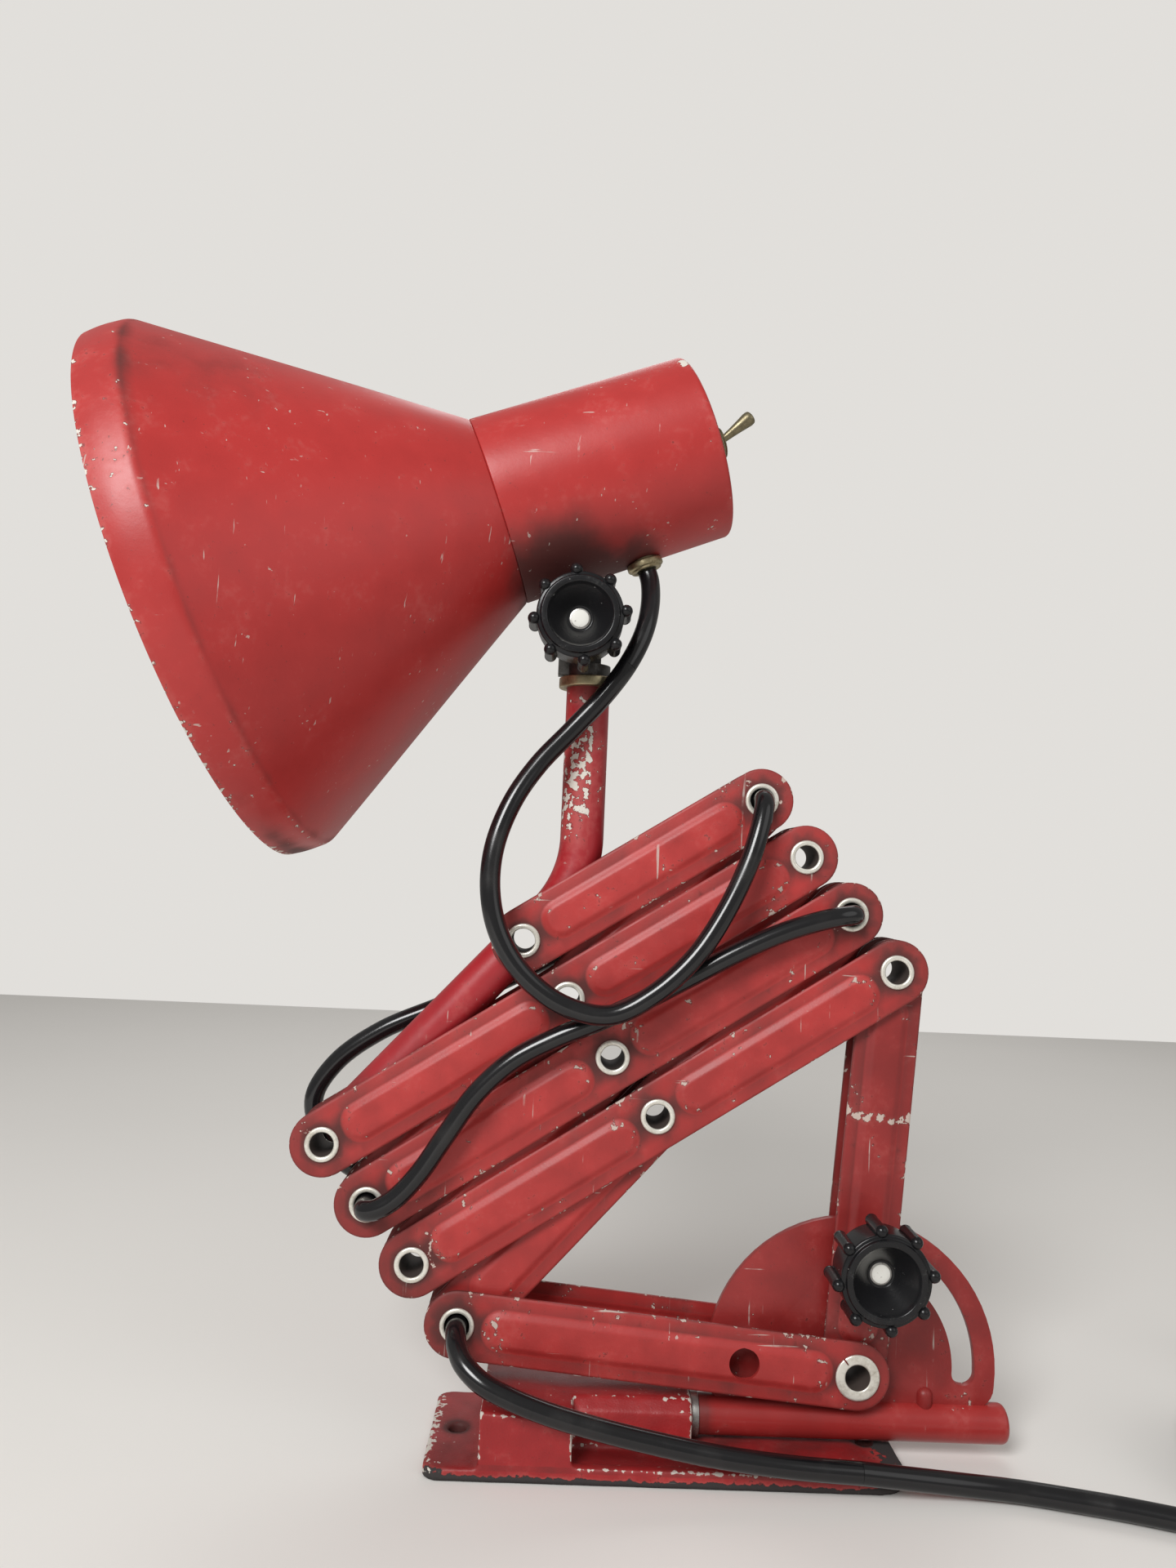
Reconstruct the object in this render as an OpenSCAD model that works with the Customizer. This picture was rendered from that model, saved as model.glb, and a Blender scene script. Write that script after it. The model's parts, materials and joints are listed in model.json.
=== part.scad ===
// Scissor-arm lamp: a cast mounting bracket with a swivelling rod, a slotted quadrant with a
// clamp knob, a lazy-tongs lattice of pressed steel bars joined by hollow rivets, a bent lamp
// arm and a cone shade with its own clamp knob. Millimetres, +Z up.
// The origin is the centre of the bracket's flat mounting face, and the lattice lies in the
// XZ plane. A direction angle is counted from +X towards +Z.

/* [Bracket] */
// Length of the mounting plate
plate_len = 172; // [160:1:210]
// Width of the mounting plate
plate_w = 58; // [50:1:70]
// Thickness of the mounting plate
plate_t = 4; // [3:0.5:4.8]
// Thickness at the raised lips along the open bay
lip_t = 5.5; // [5:0.5:6]
// Width of the raised lips
lip_w = 4; // [3:0.5:6]
// Radius of each screw hole
screw_hole_r = 3.2; // [2:0.1:4]
// Distance of each screw hole from its end of the plate
screw_inset = 10; // [8:0.5:12]
// Length of the tall end block
block_len = 32.5; // [24:0.5:40]
// Height of the end block at its outer face
block_h = 23; // [21.5:0.5:24]
// Height of the end block at its inner face
block_h_in = 20.6; // [19.5:0.1:21]
// Length of the socket that stands out of the block
socket_len = 44; // [30:1:55]
// Width of the socket
socket_w = 24; // [20:1:30]

/* [Rod and quadrant] */
// Radius of the swivel rod
rod_r = 7; // [6:0.25:7.5]
// Height of the rod's axis above the mounting face
rod_z = 12; // [12:0.25:12.5]
// How far the rod stands out of the socket
rod_out = 119; // [110:1:135]
// Height of the main pivot above the rod's axis
pivot_rise = 19.5; // [19.5:0.5:24]
// Distance of the main pivot from the middle of the plate
pivot_x = 70; // [66:1:74]
// Radius of the quadrant plate
quad_r = 54.5; // [53:0.5:60]
// Thickness of the quadrant plate
quad_t = 3; // [2:0.5:3]
// Radius from the main pivot to the clamp
clamp_arm = 42.5; // [41:0.5:43]
// Radius of both clamp bolts
bolt_r = 4; // [3:0.25:4.25]

/* [Lattice] */
// Distance between neighbouring pivots on a bar
bar_h = 105; // [85:1:130]
// Length of the upright and of the base bars, pivot to pivot
base_arm = 148; // [122:1:180]
// Width of every bar
bar_w = 24.2; // [20:0.2:25]
// Thickness of the bars' sheet
bar_t = 1.5; // [1:0.1:1.6]
// Width of the bead pressed in a bar
bead_w = 15; // [12:0.5:16]
// Height of the bead
bead_h = 1.4; // [1:0.1:1.6]
// Direction of the upright
upright_dir = 85.5; // [80:0.5:88]
// Angle between the crossing bars
fold = 15; // [15:0.5:20]
// Outer radius of the hollow rivets
rivet_r = 5.5; // [5.3:0.1:6]
// Radius of the rivets' bore
rivet_bore_r = 4.5; // [4.3:0.1:4.7]
// Radius of the rivets' flanges
rivet_flange_r = 6.4; // [6.2:0.1:8]
// Radius of the main pivot's flanges
main_flange_r = 8.1; // [7.5:0.1:9]
// Radius of the spare hole in each base bar
spare_hole_r = 5.6; // [4:0.1:6]

/* [Lamp arm] */
// Radius of the arm's tube
arm_r = 8.4; // [8.2:0.1:8.5]
// Wall of the arm's tube
arm_wall = 1.2; // [1:0.1:1.5]
// Radius of the arm's bend
arm_bend_r = 45; // [35:1:55]
// Height of the arm's top above its bend corner
arm_top = 79.5; // [70:0.5:100]
// Radius of the collar on the arm's top
collar_r = 11.5; // [10.5:0.5:12]

/* [Head] */
// Angle of the head's axis above level
head_tilt = 20.7; // [15:0.1:25]
// Radius of the shade's mouth
mouth_r = 103.5; // [86:0.5:110]
// Length of the shade from mouth to neck
shade_len = 119; // [110:1:143]
// Length of the shade's lip
lip_len = 19; // [15:0.5:24]
// Outer radius of the neck
neck_r = 37; // [35:0.5:38]
// Outer radius of the housing's back end
back_r = 35.8; // [34:0.2:36]
// Length of the housing
housing_len = 86; // [84:1:104]
// Wall of the shade and the housing
wall = 1; // [0.8:0.1:1.3]
// Distance of the tilt bolt below the head's axis
lug_drop = 56; // [56:0.5:60]

/* [Knobs] */
// Radius of a knob's body
knob_r = 15.6; // [14:0.2:16]
// Length of a knob
knob_len = 18.5; // [16:0.5:20]
// Number of ribs on a knob
knob_ribs = 8; // [6:1:10]
// Distance of a knob's rear face from the lattice's middle plane
knob_back = 17; // [17:0.5:20]

/* [Cord] */
// Radius of the cord
cord_r = 3.75; // [3:0.25:4]

/* [Hidden] */
$fn = 64;

// Clearances
run_gap = 0.05;
seat_gap = 0.02;
slot_gap = 0.3;
eps = 1;

// Layers of the lattice, as distances from its middle plane
quad_y = quad_t / 2;
inner_y = 4.4;
outer_y = 9.4;
flange_t = 0.9;
flange_y = outer_y + bar_t;
arm_flat_y = 8;
spacer_r = 7;
main_spacer_r = 8;

// Places of the pivots
function dir(a) = [cos(a), 0, sin(a)];
rod_top = rod_z + rod_r;
main = [pivot_x, 0, rod_z + pivot_rise];
kite_half = 90 - fold / 2;
upright_half = asin(bar_h / base_arm * sin(kite_half));
outer_dir = upright_dir - (180 - kite_half - upright_half);
inner_dir = outer_dir + fold;
base_dir = upright_dir + 2 * upright_half;
out_step = bar_h * dir(outer_dir);
in_step = bar_h * dir(inner_dir);
right_4 = main + base_arm * dir(upright_dir);
left_4 = main + base_arm * dir(base_dir);
mid_4 = right_4 - out_step;
left_3 = mid_4 - out_step;
right_3 = mid_4 + in_step;
mid_3 = left_3 + in_step;
right_2 = mid_3 + in_step;
left_2 = mid_3 - out_step;
mid_2 = left_2 + in_step;
right_1 = mid_2 + in_step;
left_1 = mid_2 - out_step;
mid_1 = left_1 + in_step;
clamp = main + clamp_arm * dir(upright_dir);

// Places on the bracket
plate_end = plate_len / 2;
block_x = -plate_end + 19.5;
socket_x = block_x + block_len;
socket_end = socket_x + socket_len;
rod_end = socket_end + rod_out;
rod_start = block_x + 6;
collar_len = 3;
quad_foot = 1.5;

// Places on the lamp arm and the head
arm_x = mid_1[0] + 20.5;
bend_z = mid_1[2] + 20.5 * tan(inner_dir);
arm_top_z = bend_z + arm_top;
tilt = [arm_x - 4.5, 0, arm_top_z + 18];
lug_back = 15.6;
head_dir = dir(head_tilt);
head_up = dir(head_tilt + 90);
neck = tilt + lug_drop * head_up - lug_back * head_dir;
eye_r = 9;
tongue_y = 3;
ear_t = 2.4;
ear_y = tongue_y + 0.1;
grommet_at = 49;

// Sizes of the knobs and their bolts
rib_ring_r = knob_r + 1.6;
rib_r = 2.2;
dish_r = knob_r - 3.4;
dish_depth = 9;
bolt_front = knob_back + knob_len - dish_depth;
hub_r = 8;
nut_w = 13;
nut_t = 5.3;

// Coil of the spare cord and its plug
coil_x = 240;
coil_y = -20;
coil_mid_r = 41.25;
coil_layers = 3;
plug_x = 292;
plug_y = 38;
plug_r = 18;
plug_len = 44;
pin_gap = 19;
pin_len = 19;
pin_r = 2.4;

// Routes of the cord
tail_route = [
  [-77.4, -12.2, 44.8], [-77.4, -14.5, 44.8], [-77, -18.5, 44], [-76, -23, 42], [-73, -28, 38.5],
  [-66, -32, 34], [-56, -33.8, 30], [-43, -34.4, 26], [-27, -34.2, 22], [-6, -33.5, 17.6],
  [18, -32.8, 13.4], [44, -32.4, 10.6]
];
mains_route = [
  [44, -32.4, 10.6], [66, -32, 9], [86, -31, 6.8], [104, -30, 4.8], [122, -31, 3.8],
  [138, -35, 3.8], [154, -39.5, 3.8], [170, -45, 3.8], [187, -51.3, 3.8], [203, -56.8, 3.8]
];
lead_route = [[287.4, -7, 18.2], [289.4, 0, 18], [291, 6.5, 18], [292, 13, 18]];
front_route = [
  [63.9, -12.2, 200], [63.9, -14.5, 200], [62.6, -18.3, 200], [58, -20.6, 199.4], [50, -21, 197.5],
  [37, -21, 193], [22, -21, 186], [4, -21, 176], [-14, -21, 166], [-31, -21, 157.6], [-46, -21, 151],
  [-61, -21, 142.5], [-74, -21, 130], [-84, -21, 115], [-93, -21, 101], [-101, -21, 92],
  [-108, -20.4, 87.6], [-112, -18.2, 86.6], [-112.8, -14.5, 86.5], [-112.8, -12.2, 86.5]
];
rear_high_route = [
  [-112.8, -12.1, 86.5], [-112.8, 14.5, 86.5], [-114.4, 18.6, 86.9], [-120, 20.8, 89], [-130, 21, 95],
  [-138, 21, 105], [-141, 21, 118], [-133, 21, 132], [-116, 21, 145], [-92, 21, 156], [-66, 21, 168],
  [-38, 21, 184], [-10, 21, 203], [8, 21, 219], [20, 20.8, 232], [26, 18.6, 240], [28.5, 14.5, 241.9],
  [28.5, -12.1, 241.9]
];
rear_low_route = [
  [-77.4, -12.1, 44.8], [-77.4, 14.5, 44.8], [-76, 18.6, 46.6], [-71, 21, 53], [-60, 21, 68],
  [-42, 21, 92], [-20, 21, 117], [4, 21, 142], [28, 21, 166], [48, 21, 186], [58, 20.8, 195],
  [62.4, 18.6, 199], [63.9, 14.5, 200], [63.9, -12.1, 200]
];
loop_route = [
  [-21, 0, 339.2], [-18.2, 0, 331.9], [-16.8, -0.9, 327], [-16.6, -4.5, 317], [-19, -9.5, 304.5],
  [-25, -12.6, 291], [-34, -13.4, 278], [-45, -15, 265], [-57, -18, 251], [-66, -22, 236],
  [-71.5, -25, 219], [-72, -26.5, 203], [-68, -27.5, 188], [-59, -28.5, 174.5], [-44, -29, 164],
  [-27, -29, 161], [-12, -28.5, 168.5], [3, -27, 182.5], [14, -25.5, 199.5], [22, -24, 217],
  [26.4, -21.5, 231], [28.3, -18, 239.4], [28.5, -14.5, 241.9], [28.5, -12.2, 241.9]
];

// Places its children, drawn in XY with +Z outwards, on the lattice's front, turned to a
module on_pivot(p, a = 0) {
  translate(p) rotate([0, -a, 0]) rotate([90, 0, 0]) children();
}

// Repeats its children at the rear
module rear() {
  mirror([0, 1, 0]) children();
}

// A strip with round ends, from x0 to x1
module slot_shape(x0, x1, r) {
  translate([x0, -r]) square([x1 - x0, 2 * r]);
  translate([x0, 0]) circle(r = r);
  translate([x1, 0]) circle(r = r);
}

// A ring from height z0 to z1
module ring(ro, ri, z0, z1) {
  translate([0, 0, z0]) difference() {
    cylinder(r = ro, h = z1 - z0);
    translate([0, 0, -eps]) cylinder(r = ri, h = z1 - z0 + 2 * eps);
  }
}

// A pressed bar with a hole at each of its stations, and a bead between each two
module pressed_bar(stations, y0) {
  last = len(stations) - 1;
  bead_in = bead_w / 2 - bar_t * 0.8;
  bead_from = rivet_flange_r + bead_w / 2 + 2.5;
  difference() {
    union() {
      translate([0, 0, y0]) linear_extrude(bar_t) slot_shape(0, stations[last], bar_w / 2);
      for (i = [0:last - 1]) {
        translate([0, 0, y0]) linear_extrude(bar_t + bead_h)
          slot_shape(stations[i] + bead_from, stations[i + 1] - bead_from, bead_w / 2);
      }
    }
    for (i = [0:last - 1]) {
      translate([0, 0, y0 - eps]) linear_extrude(eps + bead_h)
        slot_shape(stations[i] + bead_from, stations[i + 1] - bead_from, bead_in);
    }
    for (s = stations) {
      translate([s, 0, y0 - eps]) cylinder(r = rivet_r + run_gap, h = bar_t + 2 * eps);
    }
  }
}

full_bar = [0, bar_h, 2 * bar_h];
half_bar = [0, bar_h];
base_stations = [0, base_arm];

// A hollow rivet through the outer bars, with a flange at each end
module hollow_rivet(flange) {
  reach = flange_y + flange_t;
  difference() {
    union() {
      translate([0, 0, -reach]) cylinder(r = rivet_r, h = 2 * reach);
      for (s = [-1, 1]) {
        scale([1, 1, s]) translate([0, 0, flange_y]) {
          cylinder(r = flange, h = flange_t / 2);
          translate([0, 0, flange_t / 2]) cylinder(r1 = flange, r2 = flange - flange_t / 2, h = flange_t / 2);
        }
      }
    }
    translate([0, 0, -reach - eps]) cylinder(r = rivet_bore_r, h = 2 * (reach + eps));
  }
}

// Washers on both sides between two layers
module washer_pair(r, y0, y1) {
  for (s = [-1, 1]) {
    scale([1, 1, s]) ring(r, rivet_r + run_gap, y0 + run_gap, y1 - run_gap);
  }
}

// A rivet where outer and inner bars cross, with its sleeve and washers
module crossing_rivet(p) {
  on_pivot(p) {
    hollow_rivet(rivet_flange_r);
    ring(spacer_r, rivet_r + run_gap, -inner_y + run_gap, inner_y - run_gap);
    washer_pair(spacer_r, inner_y + bar_t, outer_y);
  }
}

// A rivet where the lamp arm takes the inner bars' place
module arm_rivet(p) {
  on_pivot(p) {
    hollow_rivet(rivet_flange_r);
    washer_pair(spacer_r, arm_flat_y, outer_y);
  }
}

// The head's own frame: +Z back along its axis from the neck, +X down
module on_head() {
  translate(neck) rotate([0, 90 - head_tilt, 0]) children();
}

// A hexagonal bolt head
module hex_head(z0) {
  translate([0, 0, z0]) cylinder(d = nut_w / cos(30), h = nut_t, $fn = 6);
}

// A clamp knob with ball-ended ribs, a dished front and a bore
module ribbed_knob() {
  rib_len = knob_len - rib_r - 3.8;
  difference() {
    union() {
      rotate_extrude() polygon([
        [0, 0], [knob_r - 3, 0], [knob_r, 3], [knob_r, knob_len - 1.2], [knob_r - 1.2, knob_len],
        [dish_r, knob_len], [bolt_r + 1.5, knob_len - dish_depth], [0, knob_len - dish_depth]
      ]);
      for (i = [0:knob_ribs - 1]) {
        rotate([0, 0, 97 + i * 360 / knob_ribs]) translate([rib_ring_r, 0, 3.6]) rotate([0, 0, 17]) rotate_extrude($fn = 24) {
          square([rib_r, rib_len]);
          translate([0, rib_len]) intersection() {
            circle(r = rib_r);
            square(2 * rib_r);
          }
        }
      }
    }
    translate([0, 0, -eps]) cylinder(r = bolt_r + run_gap, h = knob_len + 2 * eps);
  }
}

// Directions along a route, and a side direction carried along it without twisting
function unit(v) = v / norm(v);
function tangent(p, i) =
  unit(p[min(i + 1, len(p) - 1)] - p[max(i - 1, 0)]);
function carried(u, t) = unit(u - (u * t) * t);
function sides(p) = [
  for (i = 0, u = carried([0.3, 0.2, 1], tangent(p, 0)); i < len(p);
    i = i + 1, u = i < len(p) ? carried(u, tangent(p, i)) : u) u
];

// A tube along a route, as one closed surface
module cord_tube(route, n = 10) {
  u = sides(route);
  points = [
    for (i = [0:len(route) - 1], k = [0:n - 1])
      let (t = tangent(route, i), a = 360 * k / n)
        route[i] + cord_r * (cos(a) * u[i] + sin(a) * cross(t, u[i]))
  ];
  skin = [
    for (i = [0:len(route) - 2], k = [0:n - 1])
      [i * n + k, (i + 1) * n + k, (i + 1) * n + (k + 1) % n, i * n + (k + 1) % n]
  ];
  first = [for (k = [0:n - 1]) k];
  last = [for (k = [n - 1:-1:0]) (len(route) - 1) * n + k];
  color("black") polyhedron(points = points, faces = concat(skin, [first, last]));
}

// ---- Bracket ----

module plate_shape() {
  r_left = 5;
  r_right = 12;
  w = plate_w / 2;
  translate([-plate_end + r_left, -w]) square([plate_len - r_left - r_right, plate_w]);
  translate([-plate_end, -w + r_left]) square([plate_len / 2, plate_w - 2 * r_left]);
  translate([0, -w + r_right]) square([plate_end, plate_w - 2 * r_right]);
  for (s = [-1, 1]) {
    translate([-plate_end + r_left, s * (w - r_left)]) circle(r = r_left);
    translate([plate_end - r_right, s * (w - r_right)]) circle(r = r_right);
  }
}

module bracket_casting() {
  chamfer = 4;
  sw = socket_w / 2;
  color("firebrick") difference() {
    union() {
      linear_extrude(plate_t) plate_shape();
      translate([socket_x - eps, 0, 0]) for (s = [-1, 1]) {
        translate([0, s * (plate_w - lip_w) / 2 - lip_w / 2, 0])
          cube([plate_end - 12 - socket_x + eps, lip_w, lip_t]);
      }
      rotate([90, 0, 0]) translate([0, 0, -plate_w / 2]) linear_extrude(plate_w)
        polygon([[block_x, 0], [socket_x, 0], [socket_x, block_h_in], [block_x, block_h]]);
      translate([socket_x - eps, 0, 0]) rotate([90, 0, 90]) linear_extrude(socket_len + eps)
        polygon([[-sw, 0], [sw, 0], [sw, block_h_in - chamfer], [sw - chamfer, block_h_in],
          [chamfer - sw, block_h_in], [-sw, block_h_in - chamfer]]);
    }
    translate([rod_start, 0, rod_z]) rotate([0, 90, 0])
      cylinder(r = rod_r + run_gap, h = socket_end - rod_start + eps);
    for (s = [-1, 1]) {
      translate([s * (plate_end - screw_inset), 0, -eps]) cylinder(r = screw_hole_r, h = plate_t + 2 * eps);
    }
  }
}

// ---- Rod and quadrant ----

module swivel_rod() {
  dome = 1.5;
  color("firebrick") difference() {
    translate([rod_start + run_gap, 0, rod_z]) rotate([0, 90, 0]) {
      cylinder(r = rod_r, h = rod_end - rod_start - dome);
      translate([0, 0, rod_end - rod_start - dome]) cylinder(r1 = rod_r, r2 = rod_r - dome, h = dome);
    }
    translate([main[0] - quad_r, -quad_y - seat_gap, rod_top - quad_foot])
      cube([quad_r + quad_r, quad_t + 2 * seat_gap, quad_foot + eps]);
  }
}

module rod_collar() {
  color("silver") translate([socket_end, 0, rod_z]) rotate([0, 90, 0])
    ring(rod_r + 0.7, rod_r + run_gap, run_gap, collar_len);
}

// The quadrant's outline: a round top that turns in to a flat foot
module quadrant_shape() {
  foot_z = rod_top - quad_foot - main[2];
  corner_r = 8;
  flat = foot_z + corner_r;
  side = sqrt(quad_r * quad_r - flat * flat);
  from = asin(flat / quad_r);
  polygon(concat(
    [for (a = [0:5:180]) quad_r * [cos(from + a * (180 - 2 * from) / 180), sin(from + a * (180 - 2 * from) / 180)]],
    [for (a = [15:15:90]) [-side + corner_r * (1 - cos(a)), flat - corner_r * sin(a)]],
    [for (a = [90:-15:15]) [side - corner_r * (1 - cos(a)), flat - corner_r * sin(a)]]
  ));
}

module arc_slot(from, to) {
  r = bolt_r + slot_gap;
  mid = (from + to) / 2;
  half = (to - from) / 2;
  reach = 2 * quad_r;
  intersection() {
    difference() {
      circle(r = clamp_arm + r, $fn = 128);
      circle(r = clamp_arm - r, $fn = 128);
    }
    rotate(mid) polygon([[0, 0], reach * [cos(half), -sin(half)], reach * [1, 0], reach * [cos(half), sin(half)]]);
  }
  for (a = [from, to]) {
    rotate(a) translate([clamp_arm, 0]) circle(r = r + 0.05);
  }
}

// The slotted plate, with the round stub of the weld that holds it on the rod
module quadrant_plate() {
  stub_r = 3;
  stub_h = 5;
  color("firebrick") {
    on_pivot(main) translate([0, 0, -quad_y]) difference() {
      linear_extrude(quad_t) quadrant_shape();
      translate([0, 0, -eps]) cylinder(r = rivet_r + run_gap, h = quad_t + 2 * eps);
      translate([0, 0, -eps]) linear_extrude(quad_t + 2 * eps) arc_slot(-2, upright_dir);
    }
    difference() {
      translate([main[0] + 28, quad_y - 2.5, rod_z + rod_r - 2]) rotate_extrude() {
        square([stub_r, stub_h]);
        translate([0, stub_h]) intersection() {
          circle(r = stub_r);
          square(2 * stub_r);
        }
      }
      translate([rod_start, 0, rod_z]) rotate([0, 90, 0]) cylinder(r = rod_r + run_gap, h = rod_end - rod_start);
      translate([main[0] - quad_r, quad_y - 1, 0]) cube([2 * quad_r, 4 * quad_t, main[2]]);
    }
  }
}

// ---- Upright and its clamp ----

module upright_bar() {
  bolt_clear = 0.1;
  on_pivot(main, upright_dir) difference() {
    pressed_bar(base_stations, inner_y);
    translate([clamp_arm, 0, 0]) cylinder(r = bolt_r + bolt_clear, h = outer_y);
  }
}

module upright_front() {
  color("firebrick") upright_bar();
}

module upright_rear() {
  color("firebrick") rear() upright_bar();
}

upright_face = inner_y + bar_t + bead_h;

module clamp_bolt() {
  color("gray") on_pivot(clamp) {
    translate([0, 0, -upright_face - 1]) cylinder(r = bolt_r, h = upright_face + 1 + bolt_front);
    hex_head(-upright_face - nut_t);
  }
}

module clamp_hub() {
  color("black") on_pivot(clamp) ring(hub_r, bolt_r + run_gap, upright_face, knob_back - run_gap);
}

module clamp_washers() {
  color("silver") on_pivot(clamp) for (s = [-1, 1]) {
    scale([1, 1, s]) ring(bead_w / 2 - bar_t * 0.8 - 0.3, bolt_r + run_gap, quad_y + run_gap, inner_y + bead_h);
  }
}

module clamp_knob() {
  color([0.1, 0.1, 0.1]) on_pivot(clamp) translate([0, 0, knob_back]) ribbed_knob();
}

// ---- Base bars ----

module base_bar() {
  spare_at = 42;
  on_pivot(main, base_dir) difference() {
    pressed_bar(base_stations, outer_y);
    translate([spare_at, 0, 0]) cylinder(r = spare_hole_r, h = 2 * outer_y);
  }
}

module base_bar_front() {
  color("firebrick") base_bar();
}

module base_bar_rear() {
  color("firebrick") rear() base_bar();
}

// The main pivot's rivet with its spacers, and a flanged bush in each bar at the other end
module base_rivets() {
  color("beige") {
    on_pivot(main) {
      hollow_rivet(main_flange_r);
      washer_pair(main_spacer_r, quad_y, inner_y);
      washer_pair(main_spacer_r, inner_y + bar_t, outer_y);
    }
    on_pivot(left_4) for (s = [-1, 1]) {
      scale([1, 1, s]) {
        ring(rivet_r, rivet_bore_r, outer_y, flange_y + 0.01);
        ring(rivet_flange_r, rivet_bore_r, flange_y, flange_y + flange_t);
      }
    }
  }
}

// The inner bars' rivet where they meet the base bars
module link_rivet() {
  tube_y = outer_y - 0.2;
  color("beige") on_pivot(left_4) {
    ring(rivet_r, rivet_bore_r, -tube_y, tube_y);
    ring(spacer_r, rivet_r + run_gap, -inner_y + run_gap, inner_y - run_gap);
    washer_pair(spacer_r, inner_y + bar_t, tube_y);
  }
}

// ---- Lattice bars, counted from the top ----

module outer_bar(p, stations) {
  color("firebrick") on_pivot(p, outer_dir) pressed_bar(stations, outer_y);
}

module inner_bar(p) {
  color("firebrick") on_pivot(p, inner_dir) pressed_bar(full_bar, inner_y);
}

module outer_bar_1_front() { outer_bar(mid_1, half_bar); }
module outer_bar_1_rear() { rear() outer_bar(mid_1, half_bar); }
module outer_bar_2_front() { outer_bar(left_1, full_bar); }
module outer_bar_2_rear() { rear() outer_bar(left_1, full_bar); }
module outer_bar_3_front() { outer_bar(left_2, full_bar); }
module outer_bar_3_rear() { rear() outer_bar(left_2, full_bar); }
module outer_bar_4_front() { outer_bar(left_3, full_bar); }
module outer_bar_4_rear() { rear() outer_bar(left_3, full_bar); }
module inner_bar_2_front() { inner_bar(left_2); }
module inner_bar_2_rear() { rear() inner_bar(left_2); }
module inner_bar_3_front() { inner_bar(left_3); }
module inner_bar_3_rear() { rear() inner_bar(left_3); }
module inner_bar_4_front() { inner_bar(left_4); }
module inner_bar_4_rear() { rear() inner_bar(left_4); }

module rivets_4() {
  color("beige") for (p = [left_3, mid_4, right_4]) crossing_rivet(p);
}

module rivets_3() {
  color("beige") for (p = [left_2, mid_3, right_3]) crossing_rivet(p);
}

module rivets_2() {
  color("beige") {
    arm_rivet(left_1);
    crossing_rivet(mid_2);
    crossing_rivet(right_2);
  }
}

module rivets_1() {
  color("beige") {
    arm_rivet(mid_1);
    crossing_rivet(right_1);
  }
}

// ---- Lamp arm ----

// The arm's line as a solid or a bore of radius r
module arm_line(r, extra = 0) {
  turn = 90 - inner_dir;
  lead = arm_bend_r * tan(turn / 2);
  tail = 10;
  corner = [arm_x, 0, bend_z];
  low = left_1 - tail * dir(inner_dir);
  straight = norm(corner - low) - lead;
  translate([arm_x - arm_bend_r, 0, bend_z + lead]) rotate([90, 0, 0]) rotate([0, 0, -turn]) {
    rotate_extrude(angle = turn) translate([arm_bend_r, 0]) circle(r = r);
    translate([arm_bend_r, 0, 0]) rotate([90, 0, 0]) cylinder(r = r, h = straight + extra);
    rotate([0, 0, turn]) translate([arm_bend_r, 0, 0]) rotate([-90, 0, 0]) cylinder(r = r, h = arm_top - lead + extra);
  }
}

module lamp_arm() {
  color("firebrick") difference() {
    arm_line(arm_r);
    arm_line(arm_r - arm_wall, eps);
    for (p = [left_1, mid_1]) {
      on_pivot(p) translate([0, 0, -2 * arm_r]) cylinder(r = rivet_r + run_gap, h = 4 * arm_r);
      for (s = [-1, 1]) {
        on_pivot(p) scale([1, 1, s]) translate([0, 0, arm_flat_y]) cylinder(r = spacer_r + 1, h = arm_r);
      }
    }
  }
}

module arm_collar() {
  collar_h = 4;
  color("tan") translate([arm_x, 0, arm_top_z - collar_h]) ring(collar_r, arm_r + seat_gap, 0, collar_h);
}

module neck_stem() {
  stem_r = arm_r - arm_wall - run_gap;
  stem_in = 26;
  shoulder_h = 5;
  color("dimgray") difference() {
    union() {
      translate([arm_x, 0, arm_top_z - stem_in]) cylinder(r = stem_r, h = stem_in + 1);
      translate([arm_x, 0, arm_top_z + run_gap]) cylinder(r = arm_r, h = shoulder_h);
      translate([tilt[0] - eye_r + 1.4, -tongue_y, arm_top_z + 1]) cube([2 * eye_r - 1.4, 2 * tongue_y, 14]);
      on_pivot(tilt) translate([0, 0, -tongue_y]) cylinder(r = eye_r, h = 2 * tongue_y);
    }
    on_pivot(tilt) translate([0, 0, -arm_r]) cylinder(r = bolt_r + run_gap, h = 2 * arm_r);
  }
}

// ---- Head ----

module housing_form(ro, rb, z0, z1) {
  round_z = 4;
  translate([0, 0, z0]) cylinder(r1 = ro, r2 = rb, h = z1 - z0 - round_z);
  translate([0, 0, z1 - round_z]) cylinder(r1 = rb, r2 = rb - round_z * 0.3, h = round_z * 0.6);
  translate([0, 0, z1 - round_z * 0.4]) cylinder(r1 = rb - round_z * 0.3, r2 = rb - round_z, h = round_z * 0.4);
}

module housing() {
  bush_hole_r = 6.1;
  color("firebrick") on_head() difference() {
    housing_form(neck_r, back_r, 0, housing_len);
    translate([0, 0, -0.01]) housing_form(neck_r - wall, back_r - wall, 0, housing_len - wall + 0.01);
    cylinder(r = bush_hole_r, h = housing_len + eps);
    translate([0, 0, grommet_at]) rotate([0, 90, 0]) cylinder(r = 5.6, h = neck_r + eps);
  }
}

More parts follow.
